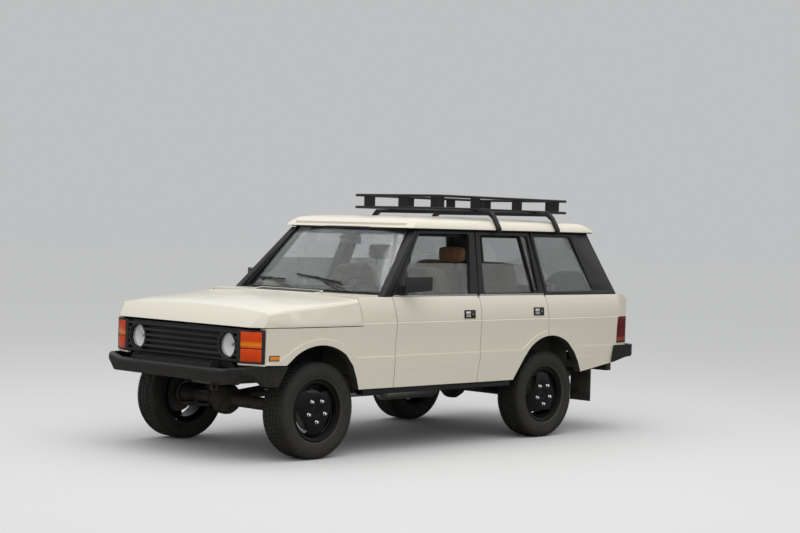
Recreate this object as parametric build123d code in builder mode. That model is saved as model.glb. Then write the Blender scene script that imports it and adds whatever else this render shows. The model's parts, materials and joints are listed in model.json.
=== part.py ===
from build123d import *
import os
from math import cos, sin, tan, radians

os.makedirs("parts", exist_ok=True)

# A four-door off-road estate car with a roof basket, in millimetres.
# Z is up from the ground, the nose points towards -Y and +X is the car's left side.

# Driving dimensions
FRONT_AXLE_Y = -1510
REAR_AXLE_Y = 1030
TYRE_RADIUS = 355
WHEEL_X = 750
KINGPIN_X = 660

SILL_Z = 497
LEDGE_Z = 735
CREASE_Z = 990
BELT_Z = 1180
GUTTER_Z = 1688
BONNET_CUT_Z = 966
ROOF_TOP_Z = 1805

LEDGE_X = 895
CREASE_X = 907
BELT_X = 872
GUTTER_X = 719
DOOR_INNER_X = 832
FRAME_DEPTH = 38
FLARE_PROUD = 9
SHUT_GAP = 3
UPPER_SHUT_GAP = 7

GATE_SPLIT_Z = 1012

RACK_HALF_WIDTH = 500
RACK_FRONT_Y = 83
RACK_REAR_Y = 1700
RACK_FLOOR_Z = 1868
RACK_TOP_Z = 1968
RACK_TUBE = 11
RACK_LENGTH = RACK_REAR_Y - RACK_FRONT_Y
BAR_YS = (525, 1265)

# Shut lines of the body side, as (y, z) from the sill up to the gutter
SHUT_A = [(-781, SILL_Z), (-759, CREASE_Z), (-796, BELT_Z), (-381, GUTTER_Z)]
SHUT_B = [(148, SILL_Z), (184, LEDGE_Z), (184, CREASE_Z), (176, BELT_Z), (272, GUTTER_Z)]
SHUT_C = [(1018, 700), (1005, CREASE_Z), (985, BELT_Z), (936, GUTTER_Z)]

# Where the body side is drawn in towards nose and tail: (y, inward shift)
WALL_STATIONS = [(-2125, 50), (-2040, 27), (-1500, 2), (-770, 0), (1500, 0), (1950, 22), (2160, 48)]


def outline(plane, points, corner=0):
    """A closed polygon on a plane, with its corners rounded if a radius is given."""
    with BuildSketch(plane) as drawn:
        with BuildLine():
            Polyline(*points, close=True)
        make_face()
        if corner:
            fillet(drawn.vertices(), corner)
    return drawn.sketch


def slab(plane, points, depth, corner=0, mode=Mode.ADD):
    """A closed polygon given a depth along its plane's normal."""
    extrude(outline(plane, points, corner), amount=depth, mode=mode)


def block(x_range, y_range, z_range, mode=Mode.ADD):
    """A box between two values on each axis."""
    ranges = (x_range, y_range, z_range)
    size = [high - low for low, high in ranges]
    middle = [(low + high) / 2 for low, high in ranges]
    with Locations(tuple(middle)):
        Box(*size, mode=mode)


def rod(start, end, radius, sides=0, mode=Mode.ADD):
    """A bar between two points, round or with a number of flat sides."""
    run = Vector(*end) - Vector(*start)
    with BuildSketch(Plane(origin=start, z_dir=run)) as end_face:
        if sides:
            RegularPolygon(radius, sides)
        else:
            Circle(radius)
    extrude(end_face.sketch, amount=run.length, mode=mode)


def faceted(profile, sides):
    """A form turned about the X axis in flat facets, one of them level at the bottom.

    The profile is an outline of (x, radius) points, and one facet of it is repeated round the axis.
    """
    reach = max(radius for x, radius in profile) + 1
    half_width = reach * tan(radians(180 / sides))
    low = min(x for x, radius in profile)
    high = max(x for x, radius in profile)
    with BuildPart() as facet:
        slab(Plane.XZ.offset(-half_width), profile, 2 * half_width)
        wedge = [(0, 0), (half_width, reach), (-half_width, reach)]
        slab(Plane.YZ.offset(low), wedge, high - low, mode=Mode.INTERSECT)
    with BuildPart() as ring:
        add([facet.part.rotate(Axis.X, number * 360 / sides) for number in range(sides)])
    return ring.part


BALL_ANGLES = (15, 45, 75, 105, 135, 165)
BALL_SIDES = 16


def faceted_ball(radius):
    """A ball in flat facets whose poles lie on the axle line."""
    stations = [(-radius * cos(radians(a)), radius * sin(radians(a))) for a in BALL_ANGLES]
    return faceted([(stations[0][0], 0)] + stations + [(stations[-1][0], 0)], BALL_SIDES)


def shifted(line, dy, dy_top=None):
    """A shut line moved along Y; its last point may move by another amount."""
    moved = [(y + dy, z) for y, z in line]
    if dy_top is not None:
        moved[-1] = (line[-1][0] + dy_top, line[-1][1])
    return moved


def other_side(left, label):
    """The right-hand twin of a left-hand piece."""
    with BuildPart() as twin:
        mirror(left.part, about=Plane.YZ)
    finish(twin, label)
    return twin


def finish(piece, label):
    piece.part.label = label
    export_step(piece.part, f"parts/{label}.step")


# The whole left body side as one wall, before it is parted into panels
with BuildPart() as side_wall:
    sections = []
    for y, inward in WALL_STATIONS:
        section = [
            (890, SILL_Z), (LEDGE_X, LEDGE_Z), (899, 880), (CREASE_X, CREASE_Z - 6),
            (CREASE_X - 5, CREASE_Z), (CREASE_X - 2, CREASE_Z + 8), (899, 1080), (884, 1150),
            (BELT_X, BELT_Z), (GUTTER_X, GUTTER_Z), (GUTTER_X - FRAME_DEPTH, GUTTER_Z),
            (DOOR_INNER_X, BELT_Z), (DOOR_INNER_X, SILL_Z),
        ]
        sections.append(outline(Plane.XZ.offset(-y), [(x - inward, z) for x, z in section]))
    loft(sections, ruled=True)

# The flared band, proud of the side below the ledge line and round both arches
with BuildPart() as flare_band:
    sections = []
    for y, inward in WALL_STATIONS:
        x = LEDGE_X + FLARE_PROUD - inward
        section = [(x - 5, SILL_Z), (x, LEDGE_Z), (x + 2, 900), (x - 45, 900), (x - 45, SILL_Z)]
        sections.append(outline(Plane.XZ.offset(-y), section))
    loft(sections, ruled=True)
    with BuildSketch(Plane.YZ.offset(840)):
        with BuildLine():
            Polyline((-2125, 480), (-2125, 700), (-1925, 722), (-1839, 769))
            ThreePointArc((-1839, 769), (-1520, 881), (-1201, 769))
            Polyline((-1201, 769), (-1160, LEDGE_Z), (690, LEDGE_Z), (801, 815))
            ThreePointArc((801, 815), (1040, 888), (1266, 835))
            Polyline((1266, 835), (1396, 758), (1434, 745), (2160, 742), (2160, 480), (-2125, 480))
        make_face()
    extrude(amount=90, mode=Mode.INTERSECT)

# Both wheel openings in the side
with BuildPart() as arch_cutter:
    with BuildSketch(Plane.YZ.offset(780)):
        with BuildLine():
            Polyline((-1900, 400), (-1885, 600), (-1845, 695), (-1766, 760))
            ThreePointArc((-1766, 760), (-1525, 836), (-1278, 758))
            Polyline((-1278, 758), (-1208, 678), (-1165, 577), (-1138, 480), (-1138, 400), (-1900, 400))
        make_face()
        with BuildLine():
            Polyline((560, 400), (575, 488), (712, 670), (780, 746))
            ThreePointArc((780, 746), (1040, 845), (1268, 779))
            Polyline((1268, 779), (1347, 704), (1402, 622), (1448, 520), (1448, 400), (560, 400))
        make_face()
    extrude(amount=200)

with BuildPart() as body_side:
    add(side_wall.part)
    add(flare_band.part)
    add(arch_cutter.part, mode=Mode.SUBTRACT)

# Windows as (y, z) corners, on the outer skin
FRONT_WINDOW = [(-735, 1196), (-372, 1662), (196, 1666), (86, 1196)]
REAR_WINDOW = [(246, 1200), (322, 1662), (905, 1660), (912, 1204)]
QUARTER_WINDOW = [(1024, 1206), (984, 1662), (1456, 1660), (1640, 1208)]
DIVIDER = [(858, 1190), (870, 1190), (818, 1672), (806, 1672)]
GLASS_TOP_Z = 1432
WINDOW_CORNER = 22


def door(front, rear, window, step, step_depth):
    """A door between two shut lines: skin, inner panel and frame, with its window cut.

    Its rear edge is stepped in by step_depth so that it swings clear of the panel behind.
    """
    add(body_side.part)
    slab(Plane.YZ.offset(600), front + rear[::-1], 360, mode=Mode.INTERSECT)
    step_strip = step + [(y - step_depth, z) for y, z in step[::-1]]
    slab(Plane.YZ.offset(780), step_strip, 98, mode=Mode.SUBTRACT)
    slab(Plane.YZ.offset(600), window, 360, corner=WINDOW_CORNER, mode=Mode.SUBTRACT)


front_door_front = shifted(SHUT_A, SHUT_GAP, SHUT_GAP)
front_door_rear = shifted(SHUT_B, -SHUT_GAP, -UPPER_SHUT_GAP)
with BuildPart() as door_front_left:
    door(front_door_front, front_door_rear, FRONT_WINDOW, front_door_rear[:-1], 15)
finish(door_front_left, "door_front_left")
other_side(door_front_left, "door_front_right")

rear_door_front = shifted(SHUT_B, SHUT_GAP, UPPER_SHUT_GAP)
rear_door_rear = [(700, SILL_Z)] + shifted(SHUT_C, -SHUT_GAP, -UPPER_SHUT_GAP - 2)
REAR_STEP = [(1030, 845), (1005, CREASE_Z), (985, BELT_Z)]
with BuildPart() as divider_bar:
    add(side_wall.part)
    slab(Plane.YZ.offset(600), DIVIDER, 360, mode=Mode.INTERSECT)
with BuildPart() as door_rear_left:
    door(rear_door_front, rear_door_rear, REAR_WINDOW, REAR_STEP, 18)
    add(divider_bar.part)
finish(door_rear_left, "door_rear_left")
other_side(door_rear_left, "door_rear_right")


def pane(points, inset, thickness=5, corner=0):
    """A pane that leans with the side above the belt, set in from the skin."""
    lean = (BELT_X - GUTTER_X) / (GUTTER_Z - BELT_Z)
    outer = BELT_X - inset
    low, high = BELT_Z - 10, GUTTER_Z
    section = [
        (outer + 10 * lean, low), (outer - (high - BELT_Z) * lean, high),
        (outer - (high - BELT_Z) * lean - thickness, high), (outer + 10 * lean - thickness, low),
    ]
    slab(Plane.XZ.offset(900), section, -2700)
    slab(Plane.YZ.offset(600), points, 360, corner=corner, mode=Mode.INTERSECT)


def lerp(a, b, z):
    """The point at height z on the line from a to b."""
    t = (z - a[1]) / (b[1] - a[1])
    return (a[0] + (b[0] - a[0]) * t, z)


front_pane = [
    FRONT_WINDOW[0], lerp(FRONT_WINDOW[0], FRONT_WINDOW[1], GLASS_TOP_Z),
    lerp(FRONT_WINDOW[3], FRONT_WINDOW[2], GLASS_TOP_Z), FRONT_WINDOW[3],
]
with BuildPart() as glass_front_left:
    pane(front_pane, 16, corner=WINDOW_CORNER)
finish(glass_front_left, "glass_front_left")
other_side(glass_front_left, "glass_front_right")

divider_front = (DIVIDER[0], DIVIDER[3])
divider_rear = (DIVIDER[1], DIVIDER[2])
with BuildPart() as drop_pane:
    pane([
        REAR_WINDOW[0], lerp(REAR_WINDOW[0], REAR_WINDOW[1], GLASS_TOP_Z),
        lerp(*divider_front, GLASS_TOP_Z), lerp(*divider_front, 1203.8),
    ], 16, corner=WINDOW_CORNER)
with BuildPart() as fixed_pane:
    pane([
        lerp(*divider_rear, 1204), lerp(*divider_rear, 1660), REAR_WINDOW[2], REAR_WINDOW[3],
    ], 12, corner=WINDOW_CORNER)
with BuildPart() as glass_rear_left:
    add(drop_pane.part)
    add(fixed_pane.part)
finish(glass_rear_left, "glass_rear_left")
other_side(glass_rear_left, "glass_rear_right")

# Door mirrors: a swept housing on the sail panel at the front corner of the window
MIRROR_PLAN = [(902, -702), (1072, -582), (1050, -535), (888, -640)]
MIRROR_FRONT_VIEW = [(870, 1200), (1080, 1236), (1080, 1337), (870, 1328)]
SAIL_OUTLINE = [(-740, 1180), (-740, 1383), (-572, 1383), (-606, 1180)]
with BuildPart() as mirror_housing:
    slab(Plane.XY.offset(1190), MIRROR_PLAN, 160, corner=14)
    slab(Plane.XZ.offset(400), MIRROR_FRONT_VIEW, 400, mode=Mode.INTERSECT)
with BuildPart() as mirror_sail:
    pane(FRONT_WINDOW, 4, 10, corner=WINDOW_CORNER)
    slab(Plane.YZ.offset(600), SAIL_OUTLINE, 360, mode=Mode.INTERSECT)
    block((848, 905), (-672, -640), (1212, 1262))
with BuildPart() as mirror_left:
    add(mirror_housing.part)
    add(mirror_sail.part)
finish(mirror_left, "mirror_left")
other_side(mirror_left, "mirror_right")

# Front wing: everything below the bonnet and ahead of the front door, with a strip in below the corner lamp
LAMP_STRIP = [
    (652, -2106), (694, -2106), (862, -2042), (868, -2018), (838, -2018), (838, -2024), (694, -2078), (652, -2078),
]
with BuildPart() as front_wing_left:
    add(body_side.part)
    wing_outline = [
        (-2030, BONNET_CUT_Z - 2), (-1112, BONNET_CUT_Z - 2), (-1147, 1150), (-1144, BELT_Z - 2),
        (-799, BELT_Z - 2), (-762, CREASE_Z), (-784, SILL_Z), (-1145, SILL_Z - 1),
        (-1200, 600), (-1780, 640), (-1800, 697), (-2030, 704),
    ]
    slab(Plane.YZ.offset(600), wing_outline, 360, mode=Mode.INTERSECT)
    slab(Plane.XY.offset(698), LAMP_STRIP, 14)
finish(front_wing_left, "front_wing_left")
other_side(front_wing_left, "front_wing_right")

# Tail shape: the rear face in side view and in plan
TAIL_Y = 2152


def tail_profile(front_y=1900):
    """Side view of the tail below the belt, as a closed sketch on the YZ plane."""
    with BuildSketch(Plane.YZ.offset(-900)) as drawn:
        with BuildLine():
            Polyline((front_y, 590), (2085, 590), (TAIL_Y - 8, 740), (TAIL_Y, 985))
            ThreePointArc((TAIL_Y, 985), (TAIL_Y - 34, 1110), (2010, BELT_Z - 2))
            Polyline((2010, BELT_Z - 2), (front_y, BELT_Z - 2), (front_y, 590))
        make_face()
    return drawn.sketch


# Rear quarter: side panel from the rear door back, with the rounded rear corner
with BuildPart() as tail_corner:
    with BuildSketch(Plane.XY.offset(590)):
        with BuildLine():
            Polyline((748, 2060), (748, 2152), (790, 2148))
            ThreePointArc((790, 2148), (838, 2122), (862, 2060))
            Polyline((862, 2060), (870, 1985), (832, 1985), (790, 2060), (748, 2060))
        make_face()
    extrude(amount=600)
    extrude(tail_profile(), amount=1800, mode=Mode.INTERSECT)

with BuildPart() as rear_quarter_left:
    add(body_side.part)
    quarter_outline = [
        (1021, 700), (1008, CREASE_Z), (988, BELT_Z - 2), (1990, BELT_Z - 2), (1990, 606), (1865, 590),
        (1452, 532), (1440, 520),
    ]
    slab(Plane.YZ.offset(600), quarter_outline, 360, mode=Mode.INTERSECT)
    add(tail_corner.part)
    block((700, 900), (1955, 2200), (757, 985), mode=Mode.SUBTRACT)
finish(rear_quarter_left, "rear_quarter_left")
other_side(rear_quarter_left, "rear_quarter_right")

# Tail lamps wrap the rear corners
with BuildPart() as tail_lamp_left:
    with BuildSketch(Plane.XY.offset(759)):
        with BuildLine():
            Polyline((790, 2100), (790, 2149))
            ThreePointArc((790, 2149), (840, 2123), (864, 2060))
            Polyline((864, 2060), (878, 1960), (840, 1960), (820, 2060), (790, 2100))
        make_face()
    extrude(amount=224)
with BuildPart() as tail_lamps:
    add(tail_lamp_left.part)
    mirror(tail_lamp_left.part, about=Plane.YZ)
    block((748, 820), (2040, 2100), (757, 985))
    block((-820, -748), (2040, 2100), (757, 985))
finish(tail_lamps, "tail_lamps")

# Skeleton inboard of the doors: posts, sill and cant rail, and the black posts that show outside
APERTURE_FRONT = [(-742, 610), (-735, 1150), (-346, 1640), (232, 1640), (138, 1170), (138, 610)]
APERTURE_REAR = [(226, 610), (226, 1170), (312, 1640), (896, 1640), (940, 1170), (950, 900), (640, 610)]
with BuildPart() as inner_wall:
    section = [
        (819, 500), (826, BELT_Z), (675, GUTTER_Z), (640, GUTTER_Z), (785, BELT_Z), (772, 500),
    ]
    slab(Plane.XZ.offset(1072), section, -3000)
    slab(Plane.YZ.offset(600), [
        (-1072, 500), (-1072, 1148), (-800, 1148), (-800, BELT_Z), (-386, GUTTER_Z), (1730, GUTTER_Z),
        (1730, 1664), (1500, 1664), (1500, 868), (980, 868), (840, 790), (640, 600), (560, 500),
    ], 300, mode=Mode.INTERSECT)
    slab(Plane.YZ.offset(600), APERTURE_FRONT, 300, corner=30, mode=Mode.SUBTRACT)
    slab(Plane.YZ.offset(600), APERTURE_REAR, 300, corner=30, mode=Mode.SUBTRACT)
    slab(Plane.YZ.offset(600), QUARTER_WINDOW, 300, corner=WINDOW_CORNER, mode=Mode.SUBTRACT)

with BuildPart() as outer_posts:
    section = [
        (BELT_X, BELT_Z), (GUTTER_X, GUTTER_Z), (GUTTER_X - 46, GUTTER_Z), (BELT_X - 47, BELT_Z),
    ]
    sections = [
        outline(Plane.XZ.offset(-y), [(x - inward, z) for x, z in section]) for y, inward in WALL_STATIONS[3:]
    ]
    loft(sections, ruled=True)
    slab(Plane.YZ.offset(600), [
        (992, BELT_Z), (952, GUTTER_Z), (1700, GUTTER_Z), (1962, BELT_Z),
    ], 360, mode=Mode.INTERSECT)
    slab(Plane.YZ.offset(600), QUARTER_WINDOW, 360, corner=WINDOW_CORNER, mode=Mode.SUBTRACT)

with BuildPart() as windscreen_post:
    section = [
        (BELT_X, BELT_Z), (GUTTER_X, GUTTER_Z), (GUTTER_X - 65, GUTTER_Z), (BELT_X - 65, BELT_Z),
    ]
    slab(Plane.XZ.offset(1000), section, -700)
    post_outline = [(-886, BELT_Z), (-412, GUTTER_Z), (-386, GUTTER_Z), (-800, BELT_Z)]
    slab(Plane.YZ.offset(600), post_outline, 360, mode=Mode.INTERSECT)

with BuildPart() as rear_post:
    foot = outline(Plane.XY.offset(BELT_Z), [(746, 1945), (746, 1992), (846, 1964), (820, 1930)])
    head = outline(Plane.XY.offset(GUTTER_Z + 8), [(644, 1744), (644, 1786), (710, 1698), (688, 1686)])
    loft([foot, head], ruled=True)

with BuildPart() as body_frame_left:
    add(inner_wall.part)
    add(outer_posts.part)
    add(windscreen_post.part)
    add(rear_post.part)
    gutter_section = [
        (648, GUTTER_Z - 4), (670, GUTTER_Z - 4), (678, GUTTER_Z + 6), (738, GUTTER_Z + 7),
        (742, GUTTER_Z + 14), (700, GUTTER_Z + 14), (648, GUTTER_Z + 12),
    ]
    slab(Plane.XZ.offset(395), gutter_section, -2135)
    block((800, 880), (-1080, 560), (452, 489))
    block((800, 819), (-1060, 540), (480, 520))
finish(body_frame_left, "body_frame_left")
other_side(body_frame_left, "body_frame_right")


def roof_solid(drop):
    """The roof as the crossing of its front view and its side view, lowered by drop."""
    with BuildSketch(Plane.XZ.offset(480)) as front_view:
        with BuildLine():
            Polyline((738 - drop, 1660), (738 - drop, 1706))
            ThreePointArc((738 - drop, 1706), (712 - drop, 1750 - drop / 2), (640 - drop, 1778 - drop))
            ThreePointArc((640 - drop, 1778 - drop), (0, ROOF_TOP_Z - drop), (drop - 640, 1778 - drop))
            ThreePointArc((drop - 640, 1778 - drop), (drop - 712, 1750 - drop / 2), (drop - 738, 1706))
            Polyline((drop - 738, 1706), (drop - 738, 1660), (738 - drop, 1660))
        make_face()
    extrude(front_view.sketch, amount=-2300)
    with BuildSketch(Plane.YZ.offset(-800)) as side_view:
        with BuildLine():
            Polyline((-455 + drop, 1660), (-455 + drop, 1704))
            ThreePointArc((-455 + drop, 1704), (-370, 1766 - drop), (-200, 1790 - drop))
            ThreePointArc((-200, 1790 - drop), (700, ROOF_TOP_Z - drop), (1500, 1788 - drop))
            ThreePointArc((1500, 1788 - drop), (1680, 1756 - drop), (1772 - drop, 1702))
            Polyline((1772 - drop, 1702), (1772 - drop, 1660), (-455 + drop, 1660))
        make_face()
    extrude(side_view.sketch, amount=1600, mode=Mode.INTERSECT)


with BuildPart() as roof_hollow:
    roof_solid(18)

with BuildPart() as roof_panel:
    roof_solid(0)
    add(roof_hollow.part, mode=Mode.SUBTRACT)
    block((-800, 800), (-600, 1900), (1600, 1702), mode=Mode.SUBTRACT)
    block((-640, 640), (-437, -395), (1702, 1740))
    slab(Plane.YZ.offset(-640), [(1640, 1702), (1700, 1702), (1700, 1730), (1640, 1730)], 1280)
    slab(Plane.YZ.offset(-690), [(1742, 1716), (1795, 1712), (1797, 1703), (1742, 1705)], 1380)
finish(roof_panel, "roof_panel")


def bowed_band(plane, half, side_y, bow_y, depth):
    """A band that follows a shallow arc across the car."""
    with BuildSketch(plane) as drawn:
        with BuildLine():
            ThreePointArc((-half, side_y), (0, bow_y), (half, side_y))
            Line((half, side_y), (half, side_y + depth))
            ThreePointArc((half, side_y + depth), (0, bow_y + depth), (-half, side_y + depth))
            Line((-half, side_y + depth), (-half, side_y))
        make_face()
    return drawn.sketch


# Windscreen and the two quarter panes
with BuildPart() as windscreen:
    base = bowed_band(Plane.XY.offset(1188), 803, -822, -905, 8)
    head = bowed_band(Plane.XY.offset(1702), 648, -402, -446, 8)
    loft([base, head], ruled=True)
with BuildPart() as quarter_pane:
    pane(QUARTER_WINDOW, 10, corner=WINDOW_CORNER)
with BuildPart() as fixed_glass:
    add(windscreen.part)
    add(quarter_pane.part)
    mirror(quarter_pane.part, about=Plane.YZ)
finish(fixed_glass, "fixed_glass")

# Scuttle between bonnet and windscreen, with the vent recess
with BuildPart() as scuttle_panel:
    with BuildSketch(Plane.XY.offset(1150)):
        with BuildLine():
            Polyline((-824, -800), (-824, -1142), (824, -1142), (824, -800))
            ThreePointArc((824, -800), (0, -880), (-824, -800))
        make_face()
    extrude(amount=38)
    for xs in ((800, 830), (-830, -800)):
        block(xs, (-900, -700), (BELT_Z, 1200), mode=Mode.SUBTRACT)
    for x in (-252, 0, 252):
        block((x - 118, x + 118), (-1120, -1040), (1176, 1190), mode=Mode.SUBTRACT)
finish(scuttle_panel, "scuttle_panel")

# Clamshell bonnet, hollow below, lofted between sections: (y, side x, top edge x, edge z, centre z)
BONNET_STATIONS = [
    (-1112, 907, 880, 1170, 1190),
    (-1500, 905, 878, 1128, 1156),
    (-1800, 893, 868, 1106, 1136),
    (-2130, 860, 838, 1062, 1090),
]


def bonnet_solid(inset):
    """The bonnet's volume with its skin moved in by inset."""
    sections = []
    for y, side_x, edge_x, edge_z, centre_z in BONNET_STATIONS:
        with BuildSketch(Plane.XZ.offset(-y)) as section:
            with BuildLine():
                Polyline((-(side_x - inset), 930), (side_x - inset, 930), (side_x - inset, CREASE_Z),
                         (edge_x + 8 - inset, edge_z - 24), (edge_x - 12 - inset, edge_z - inset))
                ThreePointArc((edge_x - 12 - inset, edge_z - inset), (0, centre_z - inset),
                              (12 + inset - edge_x, edge_z - inset))
                Polyline((12 + inset - edge_x, edge_z - inset), (inset - edge_x - 8, edge_z - 24),
                         (inset - side_x, CREASE_Z), (inset - side_x, 930))
            make_face()
        sections.append(section.sketch)
    loft(sections, ruled=True)
    side = [
        (-2118 + inset, 930), (-2116 + inset, 958), (-2020 + inset, 1075), (-2000 + inset, 1240),
        (-1153 - inset, 1240), (-1153 - inset, 1155), (-1118 - inset, 975), (-1118 - inset, 930),
    ]
    slab(Plane.YZ.offset(-950), side, 1900, mode=Mode.INTERSECT)


# Plan view of the nose that trims bonnet, wings and lamps
NOSE_PLAN = [
    (-640, -2116), (640, -2116), (700, -2112), (862, -2044), (930, -1500), (930, -1000), (-930, -1000),
    (-930, -1500), (-862, -2044), (-700, -2112),
]

NOSE_INNER_PLAN = [
    (-630, -2092), (630, -2092), (688, -2088), (840, -2024), (906, -1500), (906, -1020), (-906, -1020),
    (-906, -1500), (-840, -2024), (-688, -2088),
]

with BuildPart() as bonnet_hollow:
    bonnet_solid(24)
    slab(Plane.XY.offset(900), NOSE_INNER_PLAN, 400, mode=Mode.INTERSECT)
with BuildPart() as bonnet:
    bonnet_solid(0)
    slab(Plane.XY.offset(900), NOSE_PLAN, 400, mode=Mode.INTERSECT)
    add(bonnet_hollow.part, mode=Mode.SUBTRACT)
    block((-950, 950), (-2200, -1000), (900, BONNET_CUT_Z + 4), mode=Mode.SUBTRACT)
finish(bonnet, "bonnet")

# Grille moulding with its bars, the round lamp bezels and the black lamp surrounds
BAR_ZS = (930, 889, 848, 808, 767, 727)
HEADLAMP = (530, 832)
HEADLAMP_RADIUS = 88
LAMP_SIDES = 32
with BuildPart() as grille:
    block((-664, 664), (-2072, -2060), (716, 952))
    for z in BAR_ZS:
        block((-664, 664), (-2112, -2068), (z - 9, z + 9))
    for x in (-655, 655):
        block((x - 9, x + 9), (-2112, -2068), (718, 939))
    with BuildSketch(Plane.XZ.offset(2066)):
        with Locations((HEADLAMP[0], HEADLAMP[1]), (-HEADLAMP[0], HEADLAMP[1])):
            RegularPolygon(104, LAMP_SIDES)
    extrude(amount=44)
    with BuildSketch(Plane.XZ.offset(2050)):
        with Locations((HEADLAMP[0], HEADLAMP[1]), (-HEADLAMP[0], HEADLAMP[1])):
            RegularPolygon(92, LAMP_SIDES)
    extrude(amount=100, mode=Mode.SUBTRACT)
    for side in (1, -1):
        surround = [(650, -2110), (694, -2110), (864, -2045), (864, -2032), (790, -2032), (650, -2064)]
        slab(Plane.XY.offset(714), [(side * x, y) for x, y in surround], 238)
        lens_gap = [(side * x, y) for x, y in [(684, -2140), (848, -2080), (848, -2043), (684, -2098)]]
        slab(Plane.XY.offset(724), lens_gap, 216, mode=Mode.SUBTRACT)
finish(grille, "grille")

with BuildPart() as corner_lamps:
    for side in (1, -1):
        for low, high in ((725, 817), (822, 939)):
            lens = [(685, -2111), (694, -2112), (847, -2053), (847, -2043.5), (685, -2097.7)]
            slab(Plane.XY.offset(low), [(side * x, y) for x, y in lens], high - low)
finish(corner_lamps, "corner_lamps")

# One lamp as (distance ahead of its rim, radius): a domed glass with its bowl behind
LAMP_PROFILE = [(-32, 0), (-32, 50), (0, 50), (0, HEADLAMP_RADIUS), (28, HEADLAMP_RADIUS), (44, 64), (44, 0)]
lamp = faceted(LAMP_PROFILE, LAMP_SIDES).rotate(Axis.Z, -90)
with BuildPart() as headlamps:
    with Locations((HEADLAMP[0], -2050, HEADLAMP[1]), (-HEADLAMP[0], -2050, HEADLAMP[1])):
        add(lamp)
finish(headlamps, "headlamps")

# Inner wings, radiator panel and the arches over the front wheels
INNER_WING_PLAN = [(428, -2018), (800, -2018), (828, -1510), (830, -1092), (428, -1092)]
with BuildPart() as inner_wings:
    for side in (1, -1):
        slab(Plane.XY.offset(886), [(side * x, y) for x, y in INNER_WING_PLAN], 14)
        xs = sorted((side * 428, side * 442))
        block(xs, (-2018, -1092), (560, 900))
    block((-800, 800), (-2018, -2000), (700, 925))
    block((-560, 560), (-2018, -2000), (560, 710))
    block((-330, 330), (-2025, -1995), (600, 880), mode=Mode.SUBTRACT)
    for side in (1, -1):
        xs = sorted((side * 344, side * 416))
        block(xs, (-2025, -1995), (550, 669), mode=Mode.SUBTRACT)
    slab(Plane.YZ.offset(-580), [
        (-2104, 711), (-2064, 664), (-2010, 664), (-2010, 676), (-2058, 676), (-2090, 711),
    ], 1160)
finish(inner_wings, "inner_wings")

# Floor with tunnel, bulkhead, raised load floor and rear wheel boxes
LOAD_FLOOR_Z = 745
with BuildPart() as floor_pan:
    block((-768, 768), (-1090, 620), (590, 606))
    block((-824, 824), (-1090, -1074), (590, 1149))
    block((-190, 190), (-1090, -415), (560, 720))
    block((-174, 174), (-1095, -425), (490, 704), mode=Mode.SUBTRACT)
    block((-768, 768), (604, 620), (590, LOAD_FLOOR_Z))
    block((-598, 598), (604, 2080), (LOAD_FLOOR_Z - 16, LOAD_FLOOR_Z))
    for side in (1, -1):
        xs = sorted((side * 584, side * 600))
        block(xs, (604, 1409), (600, 866))
        xs = sorted((side * 590, side * 770))
        block(xs, (604, 1409), (850, 866))
        block(xs, (604, 620), (604, 866))
        block(xs, (1395, 1409), (600, 866))
        xs = sorted((side * 590, side * 798))
        block(xs, (1405, 1985), (LOAD_FLOOR_Z - 16, LOAD_FLOOR_Z))
    block((-740, 740), (2064, 2080), (640, LOAD_FLOOR_Z))
finish(floor_pan, "floor_pan")

# Ladder chassis: two rails kicked up over the axles, with tubular and boxed cross-members
RAIL_PROFILE = [
    (-2150, 560), (-1880, 560), (-1800, 575), (-1330, 575), (-1170, 450), (680, 450), (850, 585), (1330, 585),
    (1480, 500), (2110, 500), (2110, 585), (1520, 585), (1380, 680), (790, 680), (630, 550), (-1130, 550),
    (-1290, 668), (-1860, 668), (-1920, 655), (-2150, 655),
]
# Lashing eyes under the rail ends, as (y, z) of their holes
EYES = ((-2090, 519), (2070, 459))
EYE_RADIUS = 16
CROSS_SIDES = 16
with BuildPart() as chassis_frame:
    for side in (1, -1):
        slab(Plane.YZ.offset(side * 380 - 35), RAIL_PROFILE, 70)
    for y, z, radius in ((-1960, 610, 38), (-700, 444, 20), (60, 528, 18), (560, 512, 36), (1430, 610, 40)):
        rod((-400, y, z), (400, y, z), radius, CROSS_SIDES)
    block((-700, 700), (2050, 2110), (500, 585))
    for side in (1, -1):
        for y in (-1030, 500):
            xs = sorted((side * 400, side * 800))
            block(xs, (y, y + 50), (462, 499))
        for y in (-1000, -300, 420):
            block(sorted((side * 355, side * 405)), (y - 5, y + 45), (545, 590))
        for y in (1520, 2000):
            block(sorted((side * 355, side * 405)), (y - 5, y + 45), (580, 729))
        xs = sorted((side * 345, side * 560))
        block(xs, (-2150, -2110), (590, 650))
        for y, z in EYES:
            block(sorted((side * 374, side * 386)), (y - 32, y + 32), (z - 28, z + 45))
            rod((side * 360, y, z), (side * 400, y, z), EYE_RADIUS, mode=Mode.SUBTRACT)
finish(chassis_frame, "chassis_frame")

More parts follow.
